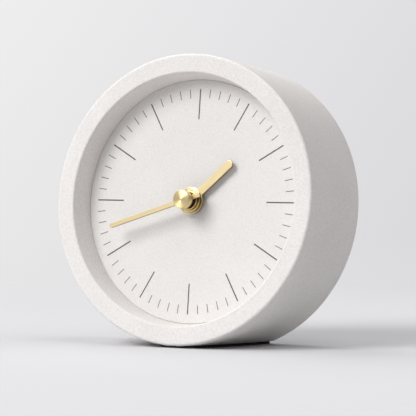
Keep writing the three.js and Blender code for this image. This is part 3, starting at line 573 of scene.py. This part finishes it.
def soften(piece, width, segments=SOFT_SEGMENTS):
    """Rounds every sharp edge by a width in millimetres."""
    apply(piece, "BEVEL", width=width * MM, segments=segments, limit_method="ANGLE",
          angle_limit=math.radians(SOFT_ANGLE), harden_normals=False)


def combine(piece, operation, *tools):
    """Adds the tools' shapes to a piece or takes them out of it, and deletes the tools."""
    for tool in tools:
        apply(piece, "BOOLEAN", object=tool, operation=operation, solver="EXACT")
        bpy.data.meshes.remove(tool.data)


def stand(piece, finish, body, slot, *nodes, smooth=SMOOTH_ANGLE):
    """Stands a piece in the model with its place in its mesh, gives it its finish, hangs it on its body and hides
    the solids it stands for; the slot that it is given is not used.
    """
    bpy.ops.object.select_all(action="DESELECT")
    piece.select_set(True)
    bpy.context.view_layer.objects.active = piece
    piece.matrix_world = CLOCK @ piece.matrix_world
    bpy.ops.object.transform_apply(location=True, rotation=True, scale=True)
    bpy.ops.object.shade_smooth_by_angle(angle=math.radians(smooth))
    piece.data.materials.append(finish)
    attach(piece, body)
    if nodes:
        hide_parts(*nodes)
    print(piece.name, "has", len(piece.data.polygons), "faces")


print("edges sharper than", SMOOTH_ANGLE, "degrees stay sharp, unless a piece says otherwise")

# %% [markdown]
# ## The concrete drum
# The drum is cast in one piece. Its front edge is rounded, its mouth has a small round and a slight draft down
# to the dial, and its back has a seat for the cover. A cylinder with a hole could be bevelled into that, but a
# spun section gives each edge its own round. The base is then cut flat with a level plane, as a caster would
# rub it flat, and its border is broken a little. Points that the break leaves close together are merged.

# %% Turn the drum
RIM_ROUND, MOUTH_RADIUS, MOUTH_ROUND, BACK_ROUND = 0.9, 43.75, 0.6, 1.2
DIAL_GAP, CAVITY_RADIUS, COVER_SEAT = 0.1, 39, 44.6
LEDGE_LEVEL, SEAT_LEVEL = -3.2, -24.2
FLAT_KEEP = 0.2
ROUND_STEPS = 8
DRUM_STEPS = 192

case_back, rim_level, case_radius = measure("case_shell")
seat_radius = measure("dial")[2] + DIAL_GAP
back_turn, rim_turn = case_radius - BACK_ROUND, case_radius - RIM_ROUND
mouth_turn, mouth_level = MOUTH_RADIUS + MOUTH_ROUND, rim_level - MOUTH_ROUND
wall_slope = (MOUTH_RADIUS - seat_radius) / mouth_level
drum = turn_piece("concrete_drum", [
    (COVER_SEAT, case_back), (back_turn - FLAT_KEEP, case_back),
    *arc(back_turn, case_back + BACK_ROUND, BACK_ROUND, -90, 0, ROUND_STEPS),
    (case_radius, case_back + BACK_ROUND + FLAT_KEEP), (case_radius, rim_level - RIM_ROUND - FLAT_KEEP),
    *arc(rim_turn, rim_level - RIM_ROUND, RIM_ROUND, 0, 90, ROUND_STEPS),
    (rim_turn - FLAT_KEEP, rim_level), (mouth_turn + FLAT_KEEP, rim_level),
    *arc(mouth_turn, mouth_level, MOUTH_ROUND, 90, 180, ROUND_STEPS),
    (MOUTH_RADIUS - wall_slope * FLAT_KEEP, mouth_level - FLAT_KEEP),
    (seat_radius, 0), (seat_radius, LEDGE_LEVEL), (CAVITY_RADIUS, LEDGE_LEVEL),
    (CAVITY_RADIUS, SEAT_LEVEL), (COVER_SEAT, SEAT_LEVEL), (COVER_SEAT, case_back),
], DRUM_STEPS)
print("drum section spun in", DRUM_STEPS, "steps")

# %% Sink the holes for the screw inserts
SCREW_ANGLES = (90, 210, 330)
SCREW_CIRCLE = 41.8
INSERT_ROOM, INSERT_CLEARANCE = 1.85, 0.1
TOOL_REACH, PEG_STEPS = 1, 48


def peg(radius, back, front, x=0, y=0, steps=PEG_STEPS):
    """A plain round tool for cutting holes, at a place in the clock's frame."""
    return stamp_piece("tool", circle(x, y, radius, steps), back, front)


def around(angle, distance):
    """A place at an angle and distance from the axis."""
    return distance * math.cos(math.radians(angle)), distance * math.sin(math.radians(angle))


SCREW_PLACES = [around(angle, SCREW_CIRCLE) for angle in SCREW_ANGLES]
insert_front = measure("threaded_insert_1")[1] + INSERT_CLEARANCE
combine(drum, "DIFFERENCE", *(
    peg(INSERT_ROOM, SEAT_LEVEL - TOOL_REACH, insert_front, *place) for place in SCREW_PLACES))
stand(drum, concrete, "case", "concrete", "case_shell")

# %% Cut the base flat
BASE_BREAK, BREAK_SEGMENTS, MERGE_WITHIN = 0.25, 2, 0.005

base_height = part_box("case_shell")[0].z
bpy.ops.object.mode_set(mode="EDIT")
bpy.ops.mesh.select_all(action="SELECT")
bpy.ops.mesh.bisect(plane_co=(0, 0, base_height), plane_no=(0, 0, 1), use_fill=True, clear_inner=True)
bpy.ops.mesh.select_mode(type="FACE")
bpy.ops.mesh.region_to_loop()
bpy.ops.mesh.bevel(offset=BASE_BREAK * MM, segments=BREAK_SEGMENTS, affect="EDGES")
bpy.ops.mesh.select_mode(type="VERT")
close_surface(MERGE_WITHIN)
bpy.ops.object.mode_set(mode="OBJECT")
bpy.ops.object.shade_smooth_by_angle(angle=math.radians(SMOOTH_ANGLE))
even_shading(drum)
print("base cut at", round(base_height / MM, 2), "mm with", len(drum.data.polygons), "faces")

# %% [markdown]
# ## The dial and its marks
# The dial is a separate disc: a fine dark line shows all round where it meets the drum. The marks are printed,
# which is ink a few hundredths of a millimetre thick. They could be painted in the dial's nodes, but thin pads
# of ink stay sharp from near by and come out in the exported mesh. One mark is made, then copied round the
# dial.

# %% Turn the dial
DIAL_EDGE, DIAL_EDGE_STEPS = 0.08, 3
DIAL_BORE = 3.45
FLAT_SMOOTH = 12

dial_back, dial_front, dial_radius = measure("dial")
dial = turn_piece("dial_disc", [
    (DIAL_BORE, dial_back), (dial_radius, dial_back),
    *arc(dial_radius - DIAL_EDGE, dial_front - DIAL_EDGE, DIAL_EDGE, 0, 90, DIAL_EDGE_STEPS),
    (DIAL_BORE, dial_front), (DIAL_BORE, dial_back),
], DRUM_STEPS)
stand(dial, dial_face, "case", "dial_concrete", "dial", smooth=FLAT_SMOOTH)

# %% Stamp and copy a mark
INK_UNDER, INK_OVER = 0.03, 0.03
MARK_END = 39.1
MARKS, HOUR_EVERY = 60, 5
MARK_ANGLE = 360 / MARKS


def place_mark(mark, position):
    """Turns a mark from twelve to its minute."""
    mark.matrix_world = Matrix.Rotation(-math.radians(MARK_ANGLE * position), 4, "Z")


def print_marks(name, start, width, positions, ink):
    """One mark stamped as a thin pad, then copied round the dial and joined to one piece."""
    half = width / 2
    outline = [(-half, start), (half, start), (half, MARK_END), (-half, MARK_END)]
    first = stamp_piece(name, outline, -INK_UNDER, INK_OVER)
    soften(first, INK_OVER / 2, segments=1)
    marks = [first]
    for position in positions[1:]:
        mark = first.copy()
        mark.data = first.data.copy()
        place_mark(mark, position)
        scene.collection.objects.link(mark)
        marks.append(mark)
    place_mark(first, positions[0])
    bpy.ops.object.select_all(action="DESELECT")
    for mark in marks:
        mark.select_set(True)
    bpy.context.view_layer.objects.active = first
    bpy.ops.object.transform_apply(location=True, rotation=True, scale=True)
    bpy.ops.object.join()
    stand(first, ink, "case", "dial_concrete", smooth=FLAT_SMOOTH)


print("marks end", MARK_END, "mm from the axis")

# %% Print the marks
INK_GRAIN, INK_SMOOTH, INK_ROUGH, INK_RELIEF = 3000, 0.6, 0.75, 0.005
HOUR_START, HOUR_WIDTH = 28.5, 0.44
MINUTE_START, MINUTE_WIDTH = 36.0, 0.29


def ink_finish(name, tone, worn):
    """Printed ink with a faint unevenness."""
    return moulded_finish(name, worn, tone, INK_GRAIN, INK_SMOOTH, INK_ROUGH, INK_RELIEF)


hours = list(range(0, MARKS, HOUR_EVERY))
minutes = [minute for minute in range(MARKS) if minute not in hours]
dark_ink = ink_finish("hour_ink", tone=(0.07, 0.066, 0.062), worn=(0.10, 0.095, 0.09))
light_ink = ink_finish("minute_ink", tone=(0.15, 0.145, 0.14), worn=(0.20, 0.195, 0.19))
print_marks("hour_marks", HOUR_START, HOUR_WIDTH, hours, dark_ink)
print_marks("minute_marks", MINUTE_START, MINUTE_WIDTH, minutes, light_ink)

# %% [markdown]
# ## The hub
# A washer and a round nut clamp the movement to the dial. Over them turn the hour hand with its stepped,
# polished collar, and the minute hand under a knob with a shallow cone for a face. Cylinders could be stacked,
# but all of these are lathe work, so each is a spun section, with the levels taken from its solid. Small
# chamfers and rounds catch the light as on the real pieces.

# %% Washer and nut
HUB_STEPS = 96
NUT_BORE = 3.45
CHAMFER, WASHER_CHAMFER = 0.12, 0.06
LATHE_SMOOTH = 30


def turn_ring(name, node, bore, chamfer, finish, slot):
    """A flat ring with a chamfer on its front edge, in place of a solid."""
    back, front, radius = measure(node)
    ring = turn_piece(name, [
        (bore, back), (radius, back), (radius, front - chamfer), (radius - chamfer, front),
        (bore + chamfer, front), (bore, front - chamfer), (bore, back),
    ], HUB_STEPS)
    stand(ring, finish, "case", slot, node, smooth=LATHE_SMOOTH)


turn_ring("nut_washer_ring", "nut_washer", NUT_BORE, WASHER_CHAMFER, turned_nickel, "nickel_steel")
turn_ring("fixing_nut_ring", "fixing_nut", NUT_BORE, CHAMFER, turned_nickel, "nickel_steel")

# %% Stepped collar
COLLAR_BORE = 2.55
COLLAR_RADII = (4.1, 3.4)
COLLAR_ROUND, COLLAR_KEEP = 0.22, 1.3
COLLAR_STEPS = 6

collar_back, collar_front, _ = measure("hour_collar")
step_height = (collar_front - collar_back) / len(COLLAR_RADII)
section = [(COLLAR_BORE, collar_back)]
for index, radius in enumerate(COLLAR_RADII):
    top = collar_back + (index + 1) * step_height
    section += [(radius, top - step_height), (radius, top - COLLAR_KEEP * COLLAR_ROUND)]
    section += arc(radius - COLLAR_ROUND, top - COLLAR_ROUND, COLLAR_ROUND, 0, 90, COLLAR_STEPS)
    section.append((radius - COLLAR_KEEP * COLLAR_ROUND, top))
section += [(COLLAR_BORE, collar_front), (COLLAR_BORE, collar_back)]
collar = turn_piece("stepped_collar", section, HUB_STEPS)
stand(collar, polished_brass, "hour", "brushed_brass", "hour_collar", smooth=LATHE_SMOOTH)

# %% Centre knob
KNOB_CONE, KNOB_BORE, KNOB_BORE_DEPTH, KNOB_EDGE = 0.3, 1.6, 1.7, 0.15
GROOVES, GROOVE_DEPTH, GROOVE_WIDTH, GROOVE_FLOOR = 2, 0.2, 0.3, 0.05
KNOB_SMOOTH = 25

knob_back, knob_front, knob_radius = measure("centre_knob")
knob_rim = knob_front - KNOB_CONE
bore_end = knob_back + KNOB_BORE_DEPTH
groove_radius = knob_radius - GROOVE_DEPTH
side = []
for index in range(GROOVES):
    middle = knob_back + (knob_rim - knob_back) * (index + 1) / (GROOVES + 1)
    side += [(knob_radius, middle - GROOVE_WIDTH), (groove_radius, middle - GROOVE_FLOOR),
             (groove_radius, middle + GROOVE_FLOOR), (knob_radius, middle + GROOVE_WIDTH)]
knob = turn_piece("hand_knob", [
    (0, bore_end), (KNOB_BORE, bore_end), (KNOB_BORE, knob_back),
    (knob_radius - CHAMFER, knob_back), (knob_radius, knob_back + CHAMFER), *side,
    (knob_radius, knob_rim - KNOB_EDGE), (knob_radius - KNOB_EDGE, knob_rim), (0, knob_front),
], HUB_STEPS)
stand(knob, turned_brass, "minute", "brushed_brass", "centre_knob", smooth=KNOB_SMOOTH)

# %% [markdown]
# ## The hands
# Each hand is stamped from brass sheet: a straight bar with a round end and a round hub, and a short tail
# behind the minute hand. A stretched cube would have no hub, so the outline is drawn round hub and bar,
# filled, extruded to the sheet's thickness, bored for its pipe and softened on every edge. It is drawn to
# twelve and then turned.

# %% How a hand is stamped
EDGE_ROUND = 0.12
TIP_STEPS, HAND_HUB_STEPS = 20, 64
HAND_SMOOTH = 15


def stamp_hand(name, node, outline, bore, turn, finish, body):
    """A hand from its outline, turned to the time shown."""
    back, front, _ = measure(node)
    hand = stamp_piece(name, outline, back, front)
    combine(hand, "DIFFERENCE", peg(bore, back - TOOL_REACH, front + TOOL_REACH, steps=HAND_HUB_STEPS))
    soften(hand, EDGE_ROUND)
    hand.matrix_world = Matrix.Rotation(-turn, 4, "Z")
    stand(hand, finish, body, "brushed_brass", node, smooth=HAND_SMOOTH)


print("hands have edges of", EDGE_ROUND, "mm")

# %% Stamp the hands
HOUR_LENGTH, HOUR_HALF, HOUR_HUB, HOUR_BORE = 20.5, 1.35, 4.75, 2.55
hub_angle = math.degrees(math.asin(HOUR_HALF / HOUR_HUB))
stamp_hand("hour_hand_blade", "hour_hand", [
    *arc(0, HOUR_LENGTH - HOUR_HALF, HOUR_HALF, 0, 180, TIP_STEPS),
    *arc(0, 0, HOUR_HUB, 90 + hub_angle, 450 - hub_angle, HAND_HUB_STEPS),
], HOUR_BORE, HOUR_TURN, hour_brass, "hour")

MINUTE_LENGTH, MINUTE_HALF, MINUTE_BOSS, MINUTE_BORE, MINUTE_TAIL = 31.2, 0.775, 2.7, 1.6, 6.1
TAIL_ROUND, TAIL_STEPS = 0.2, 4
boss_angle = math.degrees(math.asin(MINUTE_HALF / MINUTE_BOSS))
tail_x, tail_y = MINUTE_HALF - TAIL_ROUND, TAIL_ROUND - MINUTE_TAIL
stamp_hand("minute_hand_blade", "minute_hand", [
    *arc(0, MINUTE_LENGTH - MINUTE_HALF, MINUTE_HALF, 0, 180, TIP_STEPS),
    *arc(0, 0, MINUTE_BOSS, 90 + boss_angle, 270 - boss_angle, HAND_HUB_STEPS // 2),
    *arc(-tail_x, tail_y, TAIL_ROUND, 180, 270, TAIL_STEPS),
    *arc(tail_x, tail_y, TAIL_ROUND, 270, 360, TAIL_STEPS),
    *arc(0, 0, MINUTE_BOSS, 270 + boss_angle, 450 - boss_angle, HAND_HUB_STEPS // 2),
], MINUTE_BORE, MINUTE_TURN, minute_brass, "minute")

# %% [markdown]
# ## The back
# A plastic disc closes the drum, with a door over the battery, a finger notch, a hole for the setting knob and
# three screws. A spun disc would still lack its openings, so the disc starts as a stamped round plate, and
# cutting tools take out what the mould's cores would. Bevels then give it the small rounds of a moulding. The
# door is a lid and a skirt in one, with grooves for a fingertip.

# %% Rear cover
COVER_EDGE, COVER_SEGMENTS = 0.25, 2
COVER_STEPS, HOLE_STEPS, CORNER_STEPS = 128, 64, 6
DOOR_MIDDLE, DOOR_HALF_WIDTH, DOOR_HALF_HEIGHT, DOOR_CORNER = -19.15, 26.1, 8.1, 2
DOOR_LEDGE, DOOR_SEAT, DOOR_GAP = 1.5, 1.2, 0.3
FINGER_RADIUS = 6
SET_PLACE, SET_ROOM = (-14.4, 0), 5.7
HEAD_ROOM, HEAD_SEAT, SHANK_ROOM = 2.4, 1.3, 1.3


def door_outline(margin):
    """The door's outline, wider by a margin."""
    x, y, corner = DOOR_HALF_WIDTH + margin, DOOR_HALF_HEIGHT + margin, DOOR_CORNER
    corners = ((x, y, 0), (-x, y, 90), (-x, -y, 180), (x, -y, 270))
    return [point for right, top, angle in corners for point in arc(
        right - math.copysign(corner, right), DOOR_MIDDLE + top - math.copysign(corner, top), corner,
        angle, angle + 90, CORNER_STEPS)]


cover_outer, cover_inner, cover_radius = measure("rear_cover")
outside, inside = cover_outer - TOOL_REACH, cover_inner + TOOL_REACH
door_seat = cover_outer + DOOR_SEAT
notch_middle = DOOR_MIDDLE + DOOR_HALF_HEIGHT + DOOR_LEDGE
cover = stamp_piece("rear_cover_plate", circle(0, 0, cover_radius, COVER_STEPS), cover_outer, cover_inner)
combine(
    cover, "DIFFERENCE",
    stamp_piece("tool", door_outline(0), outside, inside),
    stamp_piece("tool", door_outline(DOOR_LEDGE), outside, door_seat),
    peg(FINGER_RADIUS, outside, door_seat, 0, notch_middle, HOLE_STEPS),
    peg(SET_ROOM, outside, inside, *SET_PLACE, HOLE_STEPS),
    *(peg(HEAD_ROOM, outside, cover_outer + HEAD_SEAT, *place) for place in SCREW_PLACES),
    *(peg(SHANK_ROOM, cover_outer, inside, *place) for place in SCREW_PLACES),
)
soften(cover, COVER_EDGE, COVER_SEGMENTS)
stand(cover, black_plastic, "case", "black_plastic", "rear_cover")
even_shading(cover)

# %% Battery door
LID_SHORT, SKIRT_LAP, DOOR_ROUND, DOOR_SEGMENTS = 0.1, 0.05, 0.15, 2
GRIP_RIBS, GRIP_HALF, GRIP_HEIGHT, GRIP_PITCH, GRIP_DROP, GRIP_STEPS = 4, 5, 0.35, 1.3, 1, 6

door_outer, door_inner, _ = measure("battery_door")
lid_end = door_outer + DOOR_SEAT - LID_SHORT
door = stamp_piece("battery_door_lid", door_outline(DOOR_LEDGE - DOOR_GAP), door_outer, lid_end)
combine(door, "UNION", stamp_piece("tool", door_outline(-DOOR_GAP), lid_end - SKIRT_LAP, door_inner))
grip_top = DOOR_MIDDLE + DOOR_HALF_HEIGHT - GRIP_DROP
half = GRIP_HEIGHT / 2
for rib in range(GRIP_RIBS):
    groove_y = grip_top - rib * GRIP_PITCH
    outline = [*arc(GRIP_HALF, groove_y, half, -90, 90, GRIP_STEPS),
               *arc(-GRIP_HALF, groove_y, half, 90, 270, GRIP_STEPS)]
    groove = stamp_piece("tool", outline, door_outer - TOOL_REACH, door_outer + GRIP_HEIGHT)
    combine(door, "DIFFERENCE", groove)
soften(door, DOOR_ROUND, DOOR_SEGMENTS)
stand(door, black_plastic, "door", "black_plastic", "battery_door")
even_shading(door)

# %% [markdown]
# ## The screws and the cell
# Three slotted screws hold the cover, and an AA cell lies behind the door. A screw could stay a solid, but its
# slot and chamfer catch the light, so it is turned and then slotted. The cell is turned round an upright axis,
# with a nub at one end, and then laid on its side. Its jacket is plain.

# %% Cover screws
SCREW_HEAD, SCREW_SHANK, HEAD_HEIGHT, SLOT_HALF, SLOT_DEPTH = 2.3, 1.2, 1.2, 0.3, 0.6
SCREW_STEPS = 48

reach = SCREW_HEAD + TOOL_REACH
slot_outline = [(-reach, -SLOT_HALF), (reach, -SLOT_HALF), (reach, SLOT_HALF), (-reach, SLOT_HALF)]
for number, place in enumerate(SCREW_PLACES, 1):
    node = f"cover_screw_{number}"
    back, front, _ = measure(node)
    neck = back + HEAD_HEIGHT
    screw = turn_piece(f"{node}_turned", [
        (0, back), (SCREW_HEAD - CHAMFER, back), (SCREW_HEAD, back + CHAMFER), (SCREW_HEAD, neck),
        (SCREW_SHANK, neck), (SCREW_SHANK, front - CHAMFER), (SCREW_SHANK - CHAMFER, front), (0, front),
    ], SCREW_STEPS)
    combine(screw, "DIFFERENCE", stamp_piece("tool", slot_outline, back - TOOL_REACH, back + SLOT_DEPTH))
    screw.matrix_world = Matrix.Translation((*(value * MM for value in place), 0))
    stand(screw, rolled_steel, "case", "nickel_steel", node, smooth=LATHE_SMOOTH)

# %% Battery cell
CELL_HALF, CELL_RADIUS, CELL_ROUND, CELL_STEPS = 25.1, 7.1, 0.5, 4
CELL_NUB, CELL_NUB_LENGTH, CELL_NUB_EDGE = 2.6, 1.2, 0.2

shoulder = CELL_HALF - CELL_NUB_LENGTH
cell = turn_piece("plain_cell", [
    (0, -CELL_HALF),
    *arc(CELL_RADIUS - CELL_ROUND, CELL_ROUND - CELL_HALF, CELL_ROUND, -90, 0, CELL_STEPS),
    *arc(CELL_RADIUS - CELL_ROUND, shoulder - CELL_ROUND, CELL_ROUND, 0, 90, CELL_STEPS),
    (CELL_NUB, shoulder), (CELL_NUB, CELL_HALF - CELL_NUB_EDGE), (CELL_NUB - CELL_NUB_EDGE, CELL_HALF),
    (0, CELL_HALF),
], HUB_STEPS)
cell_back, cell_front, _ = measure("battery_cell")
cell_middle = Vector((0, DOOR_MIDDLE, (cell_back + cell_front) / 2)) * MM
cell.matrix_world = Matrix.Translation(cell_middle) @ Matrix.Rotation(math.pi / 2, 4, "Y")
stand(cell, finishes["cell_jacket"], "case", "cell_jacket", "battery_cell", smooth=LATHE_SMOOTH)

# %% [markdown]
# ## Studio
# The clock stands on a pale sweep of paper that runs from the table up behind it. A floor and a wall could
# be two planes, but their corner would show, so one line is drawn along the table, round a bend and up, and is
# then extruded sideways. Near the clock the paper is lit by the lamps and keeps the shadow. Farther out, the
# camera and the brass see a glow with painted light on it: brighter on the left and falling off to the right,
# and with a little painted shade low down by the table. Other light passes through it.

# %% Draw the sweep
SWEEP_FRONT, SWEEP_BACK, SWEEP_BEND, SWEEP_TOP, SWEEP_HALF = 3000, 1100, 200, 3000, 4000
BEND_STEPS, BEND_SMOOTH = 12, 40

sweep = begin("studio_sweep")
bend = arc(SWEEP_BACK - SWEEP_BEND, SWEEP_BEND, SWEEP_BEND, -90, 0, BEND_STEPS)
draw([(-SWEEP_HALF, back, up) for back, up in [(-SWEEP_FRONT, 0), *bend, (SWEEP_BACK, SWEEP_TOP)]])
bpy.ops.mesh.select_all(action="SELECT")
bpy.ops.mesh.extrude_region_move(TRANSFORM_OT_translate={"value": (2 * SWEEP_HALF * MM, 0, 0)})
bpy.ops.object.mode_set(mode="OBJECT")
sweep.matrix_world = Matrix.Rotation(CAMERA_BEARING, 4, "Z")
bpy.ops.object.shade_smooth_by_angle(angle=math.radians(BEND_SMOOTH))
print("sweep with", len(sweep.data.polygons), "faces")

# %% Colour the sweep
NEAR_END, FAR_START = 0.22, 0.36
# painted light on the far glow: lit tone on the left, dimmer tone on the right
LIT_BACKDROP_LEFT, DIM_BACKDROP_RIGHT = (0.862, 0.858, 0.868), (0.742, 0.736, 0.752)
SWEEP_PAPER = (0.60, 0.596, 0.608)
# reach of the painted falloff across, and height and level of the painted shade low down
FALLOFF_REACH, LOW_SHADE_HEIGHT, LOW_SHADE_LEVEL = 0.16, 0.17, 0.945

material, tree, shader, place = new_finish("studio_paper")
tree.nodes.remove(shader)
split = add_node(tree, "ShaderNodeSeparateXYZ", {"Vector": place})
# painted light: the glow falls off from left to right, and is painted a little darker near the table
across = ramp(tree, split.outputs["X"], -FALLOFF_REACH, FALLOFF_REACH, 0, 1)
tone = blend_colours(tree, across, (*LIT_BACKDROP_LEFT, 1), (*DIM_BACKDROP_RIGHT, 1))
level = ramp(tree, split.outputs["Z"], 0, LOW_SHADE_HEIGHT, LOW_SHADE_LEVEL, 1)
glow = add_node(tree, "ShaderNodeEmission", {"Color": tone, "Strength": level})
paper = add_node(tree, "ShaderNodeBsdfDiffuse", {"Color": (*SWEEP_PAPER, 1)})
clear = add_node(tree, "ShaderNodeBsdfTransparent")
distance = add_node(tree, "ShaderNodeVectorMath", {0: place}, operation="LENGTH").outputs["Value"]
far = ramp(tree, distance, NEAR_END, FAR_START, 0, 1)
seen = add_node(tree, "ShaderNodeLightPath")
direct = math_node(tree, "MAXIMUM", seen.outputs["Is Camera Ray"], seen.outputs["Is Glossy Ray"])
direct = math_node(tree, "MAXIMUM", direct, seen.outputs["Is Transmission Ray"])
beyond = add_node(tree, "ShaderNodeMixShader", {0: direct, 1: clear.outputs[0], 2: glow.outputs[0]})
mixed = add_node(tree, "ShaderNodeMixShader", {0: far, 1: paper.outputs[0], 2: beyond.outputs[0]})
tree.links.new(mixed.outputs[0], tree.nodes["Material Output"].inputs["Surface"])
sweep.data.materials.append(material)
print("paper fades out from", NEAR_END, "to", FAR_START, "m")

# %% [markdown]
# ## Light
# The dial and rim are evenly bright, the drum's right side is in half shade, and a soft shadow lies to the
# right of the base. One strong lamp could light the front, but its shadow would be hard. So the world gives a
# low fill with more of it from the front left, and three broad lamps add to it: the key from above at the
# front left, one overhead that reaches the right side, and one from the upper left, a little behind the dial.

# %% World
FILL_ROUND, FILL_LEFT, FILL_NARROW = 0.21, 0.58, 2
FILL_FROM = Vector((-0.5, -0.85, 0.15)).normalized()
SHOWN_TONE = (0.80, 0.797, 0.81, 1)

world = bpy.data.worlds.new("studio_fill")
scene.world = world
world.use_nodes = True
tree = world.node_tree
tree.nodes.clear()
direction = tree.nodes.new("ShaderNodeTexCoord").outputs["Generated"]
facing = add_node(
    tree, "ShaderNodeVectorMath", {0: direction, 1: FILL_FROM}, operation="DOT_PRODUCT").outputs["Value"]
lobe = math_node(tree, "POWER", math_node(tree, "MAXIMUM", facing, 0), FILL_NARROW)
strength = ramp(tree, lobe, 0, 1, FILL_ROUND, FILL_ROUND + FILL_LEFT)
seen = tree.nodes.new("ShaderNodeLightPath")
fill = add_node(tree, "ShaderNodeBackground", {"Strength": strength})
shown = add_node(tree, "ShaderNodeBackground", {"Color": SHOWN_TONE})
mixed = add_node(
    tree, "ShaderNodeMixShader", {0: seen.outputs["Is Camera Ray"], 1: fill.outputs[0], 2: shown.outputs[0]})
output = tree.nodes.new("ShaderNodeOutputWorld")
tree.links.new(mixed.outputs[0], output.inputs["Surface"])
print("world fill", FILL_ROUND, "all round, and", FILL_LEFT, "more from the front left")

# %% Lamps
# each lamp: direction from the hub, width in metres, power in watts
LAMP_DISTANCE = 3
LAMPS = {
    "key_lamp": ((-0.333, -0.714, 0.616), 1.8, 68),
    "overhead_lamp": ((0.48, 0.12, 0.87), 3.8, 49),
    "left_lamp": ((-0.608, 0.209, 0.766), 2.6, 42),
}

for name, (towards, width, power) in LAMPS.items():
    away = Vector(towards).normalized()
    bpy.ops.object.light_add(
        type="AREA", location=CLOCK.translation + away * LAMP_DISTANCE,
        rotation=away.to_track_quat("Z", "Y").to_euler(),
    )
    lamp = bpy.context.object
    lamp.name = name
    lamp.data.shape = "DISK"
    lamp.data.size = width
    lamp.data.energy = power
    print(name, "at", [round(value, 2) for value in lamp.location])
